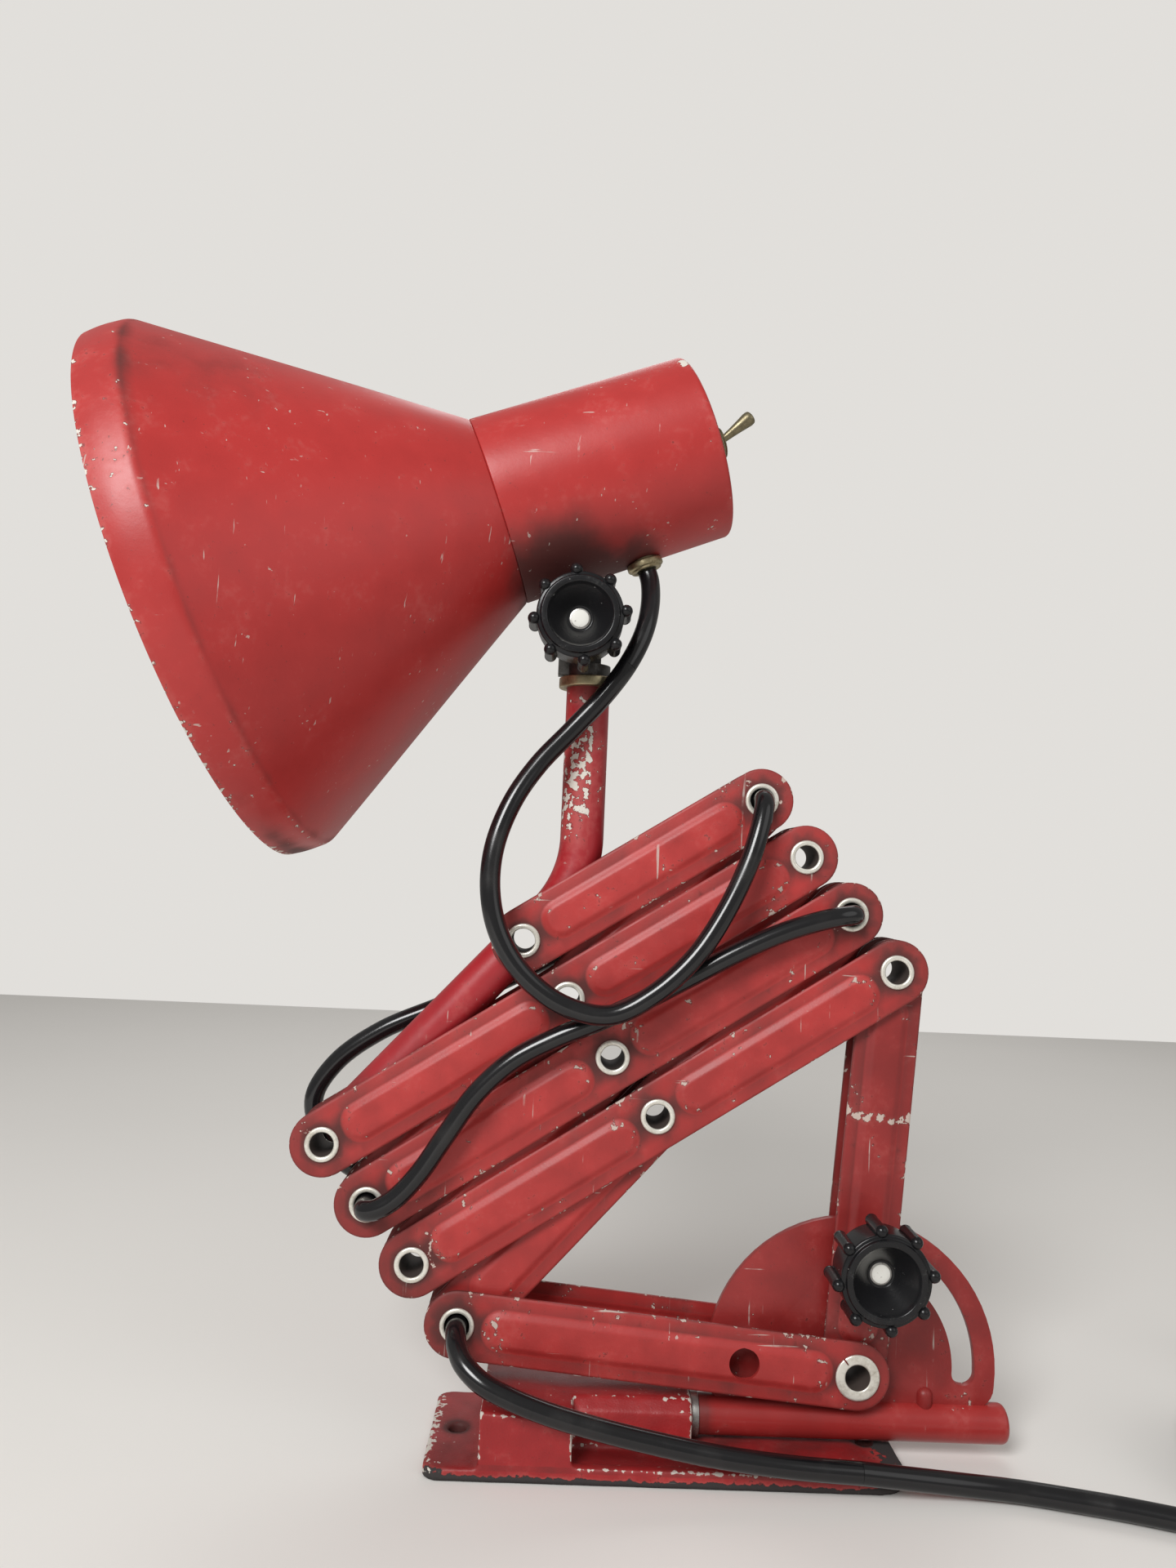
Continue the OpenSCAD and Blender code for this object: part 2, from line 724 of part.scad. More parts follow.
module shade() {
  lap = 8;
  lap_r = neck_r - wall - 0.3;
  crease_r = mouth_r - 2.7;
  w = wall * 1.15;
  color("firebrick") on_head() rotate_extrude($fn = 128) polygon([
    [mouth_r, -shade_len], [mouth_r + 0.6, 6 - shade_len], [mouth_r, 12 - shade_len],
    [crease_r, lip_len - shade_len], [neck_r, -run_gap], [lap_r, -run_gap], [lap_r, lap],
    [lap_r - wall, lap], [lap_r - wall, -wall], [crease_r - w, lip_len - shade_len],
    [mouth_r - w, 12 - shade_len], [mouth_r + 0.6 - w, 6 - shade_len], [mouth_r - w, -shade_len]
  ]);
}

module head_lug() {
  ear_out = 9.5;
  pad_t = 2;
  color("dimgray") on_head() difference() {
    union() {
      for (s = [-1, 1]) {
        translate([lug_drop, s * (ear_y + ear_t / 2), lug_back]) rotate([90, 0, 0])
          translate([0, 0, -ear_t / 2]) cylinder(r = ear_out, h = ear_t);
        translate([back_r - 6, s * (ear_y + ear_t / 2) - ear_t / 2, lug_back - ear_out])
          cube([lug_drop - back_r + 6, ear_t, 2 * ear_out]);
      }
      translate([back_r - 6, -ear_y - ear_t, lug_back - ear_out])
        cube([pad_t + 7.6, 2 * (ear_y + ear_t), 2 * ear_out]);
    }
    translate([lug_drop, 0, lug_back]) rotate([90, 0, 0]) translate([0, 0, -arm_r])
      cylinder(r = bolt_r + seat_gap, h = 2 * arm_r);
    translate([0, 0, -0.01]) housing_form(neck_r + run_gap, back_r + run_gap, 0, housing_len);
  }
}

lug_face = ear_y + ear_t;

module tilt_bolt() {
  color("gray") on_pivot(tilt) {
    translate([0, 0, -lug_face - 1]) cylinder(r = bolt_r, h = lug_face + 1 + bolt_front);
    hex_head(-lug_face - nut_t);
  }
}

module tilt_hub() {
  color("black") on_pivot(tilt) ring(hub_r, bolt_r + run_gap, lug_face, knob_back - run_gap);
}

module tilt_knob() {
  color([0.1, 0.1, 0.1]) on_pivot(tilt) translate([0, 0, knob_back]) ribbed_knob();
}

module cord_grommet() {
  hole = cord_r + 0.1;
  local_r = neck_r - (neck_r - back_r) * grommet_at / (housing_len - 4);
  color("tan") on_head() translate([0, 0, grommet_at]) rotate([0, 90, 0]) {
    ring(5.5, hole, local_r - 5, local_r + 0.4);
    ring(7, hole, local_r + 0.4, local_r + 3.4);
    ring(7.4, hole, local_r - 5, local_r - 3);
  }
}

module switch_body() {
  color("dimgray") on_head() translate([-9, -7, housing_len - wall - 23]) cube([18, 14, 22.9]);
}

module switch_bush() {
  bush_r = 6;
  out = 8.5;
  color("darkgoldenrod") on_head() translate([0, 0, housing_len - wall]) ring(bush_r, 3.4, -0.1, wall + out);
}

module switch_nut() {
  color("darkgoldenrod") on_head() ring(7.6, 6 + seat_gap, housing_len, housing_len + 3);
}

switch_pivot = neck + (housing_len + 6) * head_dir;
lever_dir = head_tilt + 21.5;

module switch_lever() {
  color("darkgoldenrod") translate(switch_pivot) rotate([0, 90 - lever_dir, 0]) {
    sphere(r = 2.2);
    cylinder(r1 = 1.3, r2 = 2.9, h = 17.5);
    translate([0, 0, 17.5]) cylinder(r1 = 2.9, r2 = 2.4, h = 0.8);
  }
}

module holder_bridge() {
  bridge_r = 34.4;
  color("silver") on_head() intersection() {
    ring(bridge_r, 9, 48, 50);
    translate([-12, -bridge_r, 47]) cube([24, 2 * bridge_r, 4]);
  }
}

module lampholder() {
  color([0.15, 0.13, 0.12]) on_head() difference() {
    union() {
      translate([0, 0, 4]) cylinder(r = 20, h = 26);
      translate([0, 0, 30]) cylinder(r1 = 20, r2 = 13, h = 8);
      translate([0, 0, 38]) cylinder(r = 13, h = 10);
      translate([0, 0, 48]) cylinder(r = 8.9, h = 5);
    }
    translate([0, 0, 3]) cylinder(r = 13.8, h = 28);
    translate([0, 0, 30]) cylinder(r = 3.5, h = 30);
  }
}

module bulb_cap() {
  color("silver") on_head() {
    translate([0, 0, 2]) cylinder(r = 13.2, h = 22);
    translate([0, 0, 24]) cylinder(r1 = 11, r2 = 5, h = 4);
    translate([0, 0, 28]) cylinder(r = 4.5, h = 2.9);
  }
}

module bulb_glass() {
  globe_r = 30;
  globe_z = -46;
  color("white") on_head() difference() {
    union() {
      translate([0, 0, globe_z]) sphere(r = globe_r);
      translate([0, 0, globe_z + 14]) cylinder(r1 = 26.5, r2 = 14, h = 24);
      translate([0, 0, globe_z + 38]) cylinder(r = 14, h = 10 - 0.02);
    }
    translate([0, 0, -20]) cylinder(r = 11, h = 15);
  }
}

// ---- Cord ----

module cord_loop() { cord_tube(loop_route); }
module cord_front_run() { cord_tube(front_route); }
module cord_rear_high() { cord_tube(rear_high_route); }
module cord_rear_low() { cord_tube(rear_low_route); }
module cord_tail() { cord_tube(tail_route); }
module mains_cord() { cord_tube(mains_route); }
module plug_lead() { cord_tube(lead_route); }

module cord_coil() {
  color("black") translate([coil_x, coil_y, 0]) rotate_extrude($fn = 96)
    translate([coil_mid_r - 2 * cord_r, 0]) square([4 * cord_r, 2 * coil_layers * cord_r]);
}

module plug_body() {
  boot_len = 26;
  color([0.1, 0.1, 0.1]) translate([plug_x, plug_y, plug_r]) rotate([-90, 0, 0]) difference() {
    union() {
      translate([0, 0, -boot_len]) cylinder(r1 = cord_r + 1.2, r2 = 8, h = boot_len);
      cylinder(r1 = 11, r2 = plug_r, h = 16);
      translate([0, 0, 16]) cylinder(r = plug_r, h = plug_len - 16);
    }
    for (s = [-1, 1]) {
      translate([s * pin_gap / 2, 0, plug_len - 8]) cylinder(r = pin_r + seat_gap, h = 9);
    }
    translate([0, 0, -boot_len - eps]) cylinder(r = cord_r + 0.1, h = 8 + eps);
  }
}

module plug_pins() {
  color("silver") translate([plug_x, plug_y, plug_r]) rotate([-90, 0, 0]) for (s = [-1, 1]) {
    translate([s * pin_gap / 2, 0, plug_len - 8]) {
      cylinder(r = pin_r, h = 8 + pin_len - pin_r);
      translate([0, 0, 8 + pin_len - pin_r]) sphere(r = pin_r);
    }
  }
}

bracket_casting();
swivel_rod();
rod_collar();
quadrant_plate();
upright_front();
upright_rear();
clamp_bolt();
clamp_hub();
clamp_washers();
clamp_knob();
base_bar_front();
base_bar_rear();
base_rivets();
outer_bar_4_front();
outer_bar_4_rear();
rivets_4();
inner_bar_4_front();
inner_bar_4_rear();
link_rivet();
outer_bar_3_front();
outer_bar_3_rear();
rivets_3();
inner_bar_3_front();
inner_bar_3_rear();
outer_bar_2_front();
outer_bar_2_rear();
rivets_2();
inner_bar_2_front();
inner_bar_2_rear();
outer_bar_1_front();
outer_bar_1_rear();
rivets_1();
lamp_arm();
arm_collar();
neck_stem();
head_lug();
tilt_bolt();
tilt_hub();
tilt_knob();
housing();
shade();
cord_grommet();
switch_body();
switch_bush();
switch_nut();
switch_lever();
holder_bridge();
lampholder();
bulb_cap();
bulb_glass();
cord_loop();
cord_front_run();
cord_rear_high();
cord_rear_low();
cord_tail();
mains_cord();
cord_coil();
plug_lead();
plug_body();
plug_pins();
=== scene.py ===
"""Looks of a scissor-arm lamp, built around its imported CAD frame."""

import json
import math
from contextlib import contextmanager

import bmesh
import bpy
import numpy as np
from mathutils import Matrix, Vector, noise
from mathutils.geometry import delaunay_2d_cdt


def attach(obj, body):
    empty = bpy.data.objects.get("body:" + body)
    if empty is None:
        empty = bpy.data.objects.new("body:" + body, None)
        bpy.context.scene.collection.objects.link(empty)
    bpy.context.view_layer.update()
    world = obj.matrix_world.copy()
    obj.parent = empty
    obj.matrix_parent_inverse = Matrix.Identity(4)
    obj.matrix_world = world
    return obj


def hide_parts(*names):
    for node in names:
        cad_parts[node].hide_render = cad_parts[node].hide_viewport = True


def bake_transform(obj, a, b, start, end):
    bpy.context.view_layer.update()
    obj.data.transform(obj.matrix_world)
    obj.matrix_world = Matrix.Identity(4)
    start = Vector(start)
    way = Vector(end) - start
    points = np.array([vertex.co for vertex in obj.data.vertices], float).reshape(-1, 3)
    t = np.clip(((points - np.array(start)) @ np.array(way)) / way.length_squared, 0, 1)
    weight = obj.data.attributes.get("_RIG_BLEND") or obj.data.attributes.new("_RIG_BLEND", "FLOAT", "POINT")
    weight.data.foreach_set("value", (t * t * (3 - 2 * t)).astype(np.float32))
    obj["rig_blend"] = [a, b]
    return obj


bl_info = {
    "name": "Scissor-arm lamp",
    "version": (1, 0, 0),
    "blender": (4, 5, 0),
    "location": "View3D > Sidebar > Lamp",
    "description": "Builds a scissor-arm lamp's finished surfaces on its fixed frame",
    "category": "Object",
}

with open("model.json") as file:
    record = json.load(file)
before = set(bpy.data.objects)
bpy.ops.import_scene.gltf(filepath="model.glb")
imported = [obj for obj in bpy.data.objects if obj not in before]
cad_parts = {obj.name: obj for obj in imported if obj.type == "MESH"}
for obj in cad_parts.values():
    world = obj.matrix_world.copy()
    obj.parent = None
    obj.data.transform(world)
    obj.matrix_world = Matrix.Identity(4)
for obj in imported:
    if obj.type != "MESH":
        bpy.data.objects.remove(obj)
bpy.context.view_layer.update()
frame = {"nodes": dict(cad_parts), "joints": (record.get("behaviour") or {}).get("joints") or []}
MM = 0.001
PIVOTS = {j["name"]: Vector(j["pos_m"]) for j in frame["joints"] if "pos_m" in j}

# ---- Places taken from the frame's joints ----

MAIN = PIVOTS["arm_tilt"]
MID_4, RIGHT_4, RIGHT_3 = PIVOTS["scissor_fold"], PIVOTS["row_4_pivot"], PIVOTS["pivot_right_3"]
OUT_STEP, IN_STEP = RIGHT_4 - MID_4, RIGHT_3 - MID_4
LEFT_4, LEFT_3 = MID_4 - IN_STEP, PIVOTS["pivot_left_3"]
LEFT_2, LEFT_1 = PIVOTS["pivot_left_2"], PIVOTS["pivot_left_1"]
MID_3, MID_2, MID_1 = LEFT_3 + IN_STEP, LEFT_2 + IN_STEP, LEFT_1 + IN_STEP
RIGHT_2, RIGHT_1 = MID_2 + OUT_STEP, MID_1 + OUT_STEP
CLAMP, TILT = PIVOTS["clamp_turn"], PIVOTS["head_tilt"]
ARM_TOP = PIVOTS["head_swivel"]


def angle_of(v):
    return math.atan2(v.z, v.x)


def heading(angle):
    """The unit vector at an angle above the x axis, in the lattice's plane."""
    return Vector((math.cos(angle), 0, math.sin(angle)))


OUTER_DIR, INNER_DIR = angle_of(OUT_STEP), angle_of(IN_STEP)
UPRIGHT_DIR, BASE_DIR = angle_of(RIGHT_4 - MAIN), angle_of(LEFT_4 - MAIN)
HEAD_TILT = math.radians(20.7)
HEAD_DIR = heading(HEAD_TILT)
HEAD_DOWN = Vector((math.sin(HEAD_TILT), 0, -math.cos(HEAD_TILT)))
NECK = TILT - HEAD_DOWN * 0.056 - HEAD_DIR * 0.0156

# Distances of the sheet layers from the lattice's middle plane
INNER_Y, OUTER_Y = 4.4 * MM, 9.4 * MM


# Edges steeper than this, in degrees, are shaded sharp
SHARP = 34

# Radii in mm: the eyelets' holes in the bars, their sleeves, and the bores for the clamp bolts
EYELET_HOLE, SLEEVE_IN, SLEEVE_OUT, BOLT_BORE = 5.55, 4.5, 5.5, 4.05


# ---- Properties ----


class LampSizes(bpy.types.PropertyGroup):
    """Sizes that change the lamp's finish but not its frame."""

    sheet: bpy.props.FloatProperty(
        name="Bar sheet", description="Thickness of the bars' sheet", default=0.0015, unit="LENGTH"
    )
    bead_height: bpy.props.FloatProperty(
        name="Bead height", description="How far the pressed bead stands out", default=0.0014, unit="LENGTH"
    )
    dent_depth: bpy.props.FloatProperty(
        name="Dent depth", description="How uneven the spun shade is", default=0.0003, unit="LENGTH"
    )
    knob_ribs: bpy.props.IntProperty(
        name="Knob ribs", description="Number of ribs round a clamp knob", default=8, min=3
    )
    cord_sides: bpy.props.IntProperty(
        name="Cord sides", description="Facets round the cord", default=20, min=8
    )


def tint(name, description, default):
    return bpy.props.FloatVectorProperty(
        name=name, description=description, default=default, size=3, subtype="COLOR", min=0, max=1
    )


class LampColours(bpy.types.PropertyGroup):
    """Colours of the lamp's finishes."""

    shade: tint("Shade", "Paint of the shade and its housing", (0.40, 0.026, 0.024))
    bars: tint("Bars", "Paint of the pressed bars", (0.385, 0.030, 0.028))
    casting: tint("Casting", "Paint of the cast bracket", (0.33, 0.016, 0.018))
    tube: tint("Tube", "Paint of the lamp arm's tube", (0.34, 0.018, 0.024))
    # The dark colour of old dirt and streaks, also used for painted shade in bores, seams, creases and
    # undersides
    soot_and_shading: tint("Soot", "Old dirt in corners and streaks", (0.030, 0.014, 0.012))
    primer: tint("Primer", "Pale layer under the red paint", (0.62, 0.58, 0.52))
    nickel: tint("Nickel", "Plating of the hollow rivets", (0.79, 0.77, 0.70))
    steel: tint("Steel", "Dull bare steel", (0.42, 0.41, 0.39))
    brass: tint("Brass", "Aged brass", (0.42, 0.36, 0.22))
    moulding: tint("Moulding", "Black moulded knobs", (0.008, 0.008, 0.009))
    rubber: tint("Rubber", "Black rubber of the cord", (0.007, 0.007, 0.008))
    floor: tint("Floor", "Floor and backdrop", (0.78, 0.76, 0.73))


def sizes():
    return bpy.context.scene.lamp_sizes


def colours():
    return bpy.context.scene.lamp_colours


# ---- Node networks ----


class Value:
    """A node's output that takes part in arithmetic; each sign adds a Math node."""

    def __init__(self, net, socket):
        self.net, self.socket = net, socket

    def math(self, operation, *terms):
        return self.net.add("ShaderNodeMath", {"operation": operation}, *terms)

    def __add__(self, other):
        return self.math("ADD", self, other)

    __radd__ = __add__

    def __sub__(self, other):
        return self.math("SUBTRACT", self, other)

    def __rsub__(self, other):
        return self.math("SUBTRACT", other, self)

    def __mul__(self, other):
        return self.math("MULTIPLY", self, other)

    def top(self, other):
        return self.math("MAXIMUM", self, other)

    def step(self, low, high):
        """0 below low, 1 above high, and smooth between."""
        return self.net.add(
            "ShaderNodeMapRange", {"interpolation_type": "SMOOTHSTEP"}, self, low, high
        )


class Network:
    """Builds a node tree from expressions."""

    def __init__(self, tree):
        self.tree = tree

    def add(self, kind, settings=None, *values, out=0, **named):
        """Adds a node, sets its settings, then its sockets by position or by name."""
        node = self.tree.nodes.new(kind)
        for key, value in (settings or {}).items():
            setattr(node, key, value)
        for key, value in list(enumerate(values)) + list(named.items()):
            socket = node.inputs[key.replace("_", " ") if isinstance(key, str) else key]
            if isinstance(value, Value):
                self.tree.links.new(value.socket, socket)
            elif value is not None:
                socket.default_value = value
        return Value(self, node.outputs[out])

    def vector(self, x=0.0, y=0.0, z=0.0):
        return self.add("ShaderNodeCombineXYZ", None, x, y, z)


class Finish(Network):
    """A material's shader network, with the patterns that the lamp's surfaces use."""

    def __init__(self, name):
        self.material = bpy.data.materials.new(name)
        self.material.use_nodes = True
        super().__init__(self.material.node_tree)
        self.shader = self.tree.nodes["Principled BSDF"]
        self.place = self.add("ShaderNodeTexCoord", out="Object")

    def uniform(self, **values):
        for key, value in values.items():
            self.shader.inputs[key.replace("_", " ")].default_value = value

    def feed(self, key, value):
        self.tree.links.new(value.socket, self.shader.inputs[key])

    def attribute(self, name):
        return self.add("ShaderNodeAttribute", {"attribute_name": name}, out="Fac")

    def noise(self, scale, detail=4.0, stretch=(1, 1, 1), turn=(0, 0, 0), source=None):
        """Noise from 0 to 1 at a number of features per metre, stretched along an axis."""
        place = self.add(
            "ShaderNodeMapping", None, source or self.place, Rotation=turn, Scale=stretch
        )
        return self.add("ShaderNodeTexNoise", None, place, Scale=scale, Detail=detail)

    def blend(self, mask, first, second):
        """The first colour where the mask is 0, and the second where it is 1."""
        node = self.tree.nodes.new("ShaderNodeMix")
        node.data_type = "RGBA"
        for index, value in ((0, mask), (6, first), (7, second)):
            if isinstance(value, Value):
                self.tree.links.new(value.socket, node.inputs[index])
            else:
                node.inputs[index].default_value = (*value, 1) if index else value
        return Value(self, node.outputs[2])

    def relief(self, height, depth, strength=1.0):
        bump = self.add("ShaderNodeBump", None, Strength=strength, Distance=depth, Height=height)
        self.feed("Normal", bump)


def faded(colour, factor):
    return tuple(min(1.0, c * factor) for c in colour)


def old_paint(name, colour, under, wear_gain, dirt_gain, gloss, grain, chips, mottle=1.0):
    """Worn paint: uneven tone, dirt and painted shade, rubbed edges, chips down to an under layer, and
    scratches.
    """
    c = colours()
    f = Finish(name)
    wear, dirt = f.attribute("wear") * wear_gain, f.attribute("dirt") * dirt_gain
    pale = f.attribute("pale")
    broad, patch = f.noise(11, 3), f.noise(75, 5)
    fine, grit = f.noise(420, 5), f.noise(1500, 3)
    runs = f.noise(60, 4, stretch=(1, 1, 0.18))
    uneven = (broad * 0.5 + patch * 0.5).step(0.35, 0.65)
    tone = f.blend(uneven, faded(colour, 1 - 0.2 * mottle), faded(colour, 1 + 0.14 * mottle))
    rubbed = (patch * 0.6 + fine * 0.4 + wear * 0.25).step(0.52, 0.78)
    tone = f.blend(rubbed * 0.30, tone, (0.52, 0.15, 0.13))
    # Dark streaks and old dirt, together with painted shade in the creases, seams, bores and undersides that
    # the marks carry
    soot_and_shading = (dirt * 0.75 + runs * 0.5 + patch * 0.35).step(0.55, 1.05)
    tone = f.blend(soot_and_shading * 0.85, tone, tuple(c.soot_and_shading))
    speck = (grit * 0.6 + fine * 0.4).step(0.62, 0.70) * 0.6
    tone = f.blend(speck, tone, faded(c.soot_and_shading, 1.4))
    hair = f.noise(44, 2, stretch=(14, 14, 0.5), turn=(0.4, 0.5, 0.2)).step(0.70, 0.73)
    hair = hair.top(f.noise(38, 2, stretch=(0.6, 16, 16), turn=(0.2, 0.9, 0.3)).step(0.72, 0.75))
    hair = hair * patch.step(0.48, 0.6)
    loss = patch * 0.35 + fine * 0.65 + wear * 0.22
    edge = loss.step(chips - 0.03, chips - 0.01)
    bare = loss.step(chips, chips + 0.015)
    tone = f.blend(edge * 0.7, tone, faded(colour, 0.35))
    tone = f.blend(bare, tone, under)
    scraped = (patch * 0.35 + fine * 0.65 + pale * 0.25).step(0.70, 0.72) * pale.step(0.05, 0.2)
    tone = f.blend(scraped * 0.9, tone, tuple(c.primer))
    tone = f.blend(hair * 0.6, tone, faded(tuple(c.primer), 0.9))
    f.feed("Base Color", tone)
    f.feed("Roughness", gloss + patch * 0.12 + soot_and_shading * 0.25 + bare * 0.3 + rubbed * 0.12)
    f.relief(fine * 0.25 + grit * (0.12 + grain) - bare * 0.8 - hair * 0.3, 0.00025, 0.55)
    f.uniform(Specular_IOR_Level=0.45)
    return f.material


def worn_metal(name, colour, tarnish, rough=0.32, metal=1.0, pits=0.6):
    """Old metal: tarnish in patches, fine scratches and pits, and painted shade in bores."""
    f = Finish(name)
    patch, fine = f.noise(160, 5), f.noise(1100, 4)
    dirt = f.attribute("dirt")
    stain = (patch * 0.7 + fine * 0.3 + dirt * 0.4).step(0.42, 0.72)
    rust = (patch * 0.4 + fine * 0.6).step(pits, pits + 0.06)
    # Only the marks inside hollow bores reach this high: painted shade in the bores
    bore_shading = dirt.step(1.2, 1.8)
    tone = f.blend(stain * 0.8, colour, tarnish)
    tone = f.blend(rust * 0.7, tone, (0.10, 0.055, 0.03))
    f.feed("Base Color", f.blend(bore_shading * 0.93, tone, tuple(colours().soot_and_shading)))
    f.feed("Metallic", metal - rust * 0.5 - bore_shading * 0.7)
    f.feed("Roughness", rough + stain * 0.22 + rust * 0.3 + bore_shading * 0.2)
    f.relief(fine - rust * 0.6, 0.00012, 0.4)
    return f.material


def moulded(name, colour, scuff, rough=0.28, amount=0.66):
    """A moulded surface with greyish rubbed edges and small pale scuffs."""
    f = Finish(name)
    patch, fine = f.noise(190, 4), f.noise(900, 5)
    wear = f.attribute("wear")
    rub = (patch * 0.5 + fine * 0.3 + wear * 0.5).step(0.5, 1.0)
    mark = (fine * 0.8 + patch * 0.2 + wear * 0.10).step(amount, amount + 0.04)
    tone = f.blend(rub * 0.5, colour, faded(scuff, 0.35))
    f.feed("Base Color", f.blend(mark * 0.8, tone, scuff))
    f.feed("Roughness", rough + rub * 0.35 + mark * 0.2)
    f.relief(fine + patch * 0.5, 0.0001, 0.35)
    f.uniform(Specular_IOR_Level=0.3)
    return f.material


def cord_rubber(name):
    """Semi-gloss rubber with a faint lengthwise grain and dust."""
    f = Finish(name)
    along = f.add("ShaderNodeUVMap", {"uv_map": "lay"})
    grain = f.noise(90, 3, stretch=(6, 0.6, 1), source=along)
    dust = f.noise(55, 5).step(0.52, 0.8)
    c = colours()
    f.feed("Base Color", f.blend(dust * 0.15, tuple(c.rubber), (0.07, 0.065, 0.06)))
    f.feed("Roughness", 0.17 + dust * 0.15)
    f.relief(f.noise(240, 3) + grain * 0.05, 0.00010, 0.10)
    f.uniform(Specular_IOR_Level=0.5)
    return f.material


def glass_white(name):
    """Opal glass of the bulb, with a faint mottle."""
    f = Finish(name)
    mottle = f.noise(60, 3)
    f.feed("Base Color", f.blend(mottle.step(0.3, 0.7), (0.86, 0.85, 0.80), (0.92, 0.91, 0.88)))
    f.feed("Roughness", 0.12 + mottle * 0.08)
    f.uniform(Coat_Weight=0.5, Coat_Roughness=0.05)
    return f.material


def enamel(name):
    """The pale reflecting lining of the shade, greyed by heat and dust."""
    f = Finish(name)
    patch, fine = f.noise(25, 5), f.noise(300, 4)
    grey = (patch * 0.6 + fine * 0.2 + f.attribute("dirt") * 0.5).step(0.35, 0.9)
    f.feed("Base Color", f.blend(grey * 0.7, (0.72, 0.70, 0.64), (0.30, 0.27, 0.22)))
    f.feed("Roughness", 0.42 + grey * 0.25)
    f.relief(fine, 0.0001, 0.3)
    return f.material


def plain_surface(name, colour):
    """A pale wall or floor with a hardly visible unevenness."""
    f = Finish(name)
    f.feed("Base Color", f.blend(f.noise(3, 3), faded(colour, 0.97), faded(colour, 1.02)))
    f.uniform(Roughness=0.8, Specular_IOR_Level=0.2)
    return f.material


FINISHES = {}


def finish(name):
    """The named finish, made once."""
    c = colours()
    primer, putty = tuple(c.primer), (0.50, 0.40, 0.35)
    recipes = {
        "shade_paint": (old_paint, tuple(c.shade), primer, 1.2, 1.25, 0.33, 0.0, 0.70, 0.4),
        "bar_paint": (old_paint, tuple(c.bars), putty, 1.0, 1.3, 0.38, 0.2, 0.66),
        "rod_paint": (old_paint, faded(c.bars, 0.85), primer, 1.0, 1.2, 0.24, 0.0, 0.70, 0.6),
        # A darker copy of the bar paint for the upright and the quadrant: painted shade
        "dull_paint": (old_paint, faded(c.bars, 0.66), putty, 1.0, 1.4, 0.36, 0.1, 0.66),
        "casting_paint": (old_paint, tuple(c.casting), (0.035, 0.03, 0.03), 1.5, 1.2, 0.36, 0.5, 0.70),
        "tube_paint": (old_paint, tuple(c.tube), primer, 1.6, 1.0, 0.32, 0.0, 0.74, 0.5),
        "nickel": (worn_metal, tuple(c.nickel), (0.42, 0.38, 0.30), 0.34, 0.6, 0.66),
        "steel": (worn_metal, tuple(c.steel), (0.20, 0.18, 0.16), 0.36, 0.9, 0.58),
        "brass": (worn_metal, tuple(c.brass), (0.12, 0.085, 0.04), 0.34, 0.85, 0.62),
        "dark_steel": (worn_metal, faded(c.steel, 0.22), (0.03, 0.025, 0.02), 0.42, 0.8, 0.6),
        "dark_brass": (worn_metal, faded(c.brass, 0.55), (0.06, 0.045, 0.025), 0.34, 0.85, 0.62),
        "moulding": (moulded, tuple(c.moulding), (0.55, 0.54, 0.52), 0.24, 0.69),
        "hub_moulding": (moulded, faded(c.moulding, 1.5), (0.3, 0.29, 0.28), 0.4, 0.72),
        "plug_moulding": (moulded, faded(c.moulding, 1.6), (0.35, 0.34, 0.33), 0.42, 0.74),
        "stud_paint": (moulded, (0.74, 0.73, 0.68), (0.35, 0.33, 0.30), 0.45, 0.62),
        "porcelain": (moulded, (0.70, 0.68, 0.62), (0.30, 0.27, 0.22), 0.2, 0.66),
        "cord_rubber": (cord_rubber,),
        "bulb_opal": (glass_white,),
        "shade_lining": (enamel,),
    }
    if name not in FINISHES:
        make, *given = recipes[name]
        FINISHES[name] = make(name, *given)
    return FINISHES[name]


# ---- Mesh making ----


@contextmanager
def editing(mesh):
    """The mesh as a bmesh, written back at the end of the block."""
    bm = bmesh.new()
    bm.from_mesh(mesh)
    yield bm
    bm.to_mesh(mesh)
    bm.free()


def linked(name, mesh):
    """A new object of a mesh, in the scene."""
    obj = bpy.data.objects.new(name, mesh)
    bpy.context.scene.collection.objects.link(obj)
    return obj


def evaluated(obj):
    """The object's mesh with its modifiers applied."""
    return bpy.data.meshes.new_from_object(obj.evaluated_get(bpy.context.evaluated_depsgraph_get()))


def bake(obj, sharp=SHARP):
    """Replaces the object's mesh by its evaluated one, smooth up to an angle in degrees."""
    made = evaluated(obj)
    obj.modifiers.clear()
    obj.data = made
    made.name = obj.name
    made.shade_smooth()
    made.set_sharp_from_angle(angle=math.radians(sharp))
    return obj


def mark(mesh, attributes):
    """Stores values at a mesh's points, by attribute name."""
    for key, values in attributes.items():
        layer = mesh.attributes.new(key, "FLOAT", "POINT")
        layer.data.foreach_set("value", np.asarray(values, np.float32))


def vectors(mesh, key):
    """A vector of each vertex of a mesh, as rows of three."""
    out = np.zeros(len(mesh.vertices) * 3, np.float32)
    mesh.vertices.foreach_get(key, out)
    return out.reshape(-1, 3)


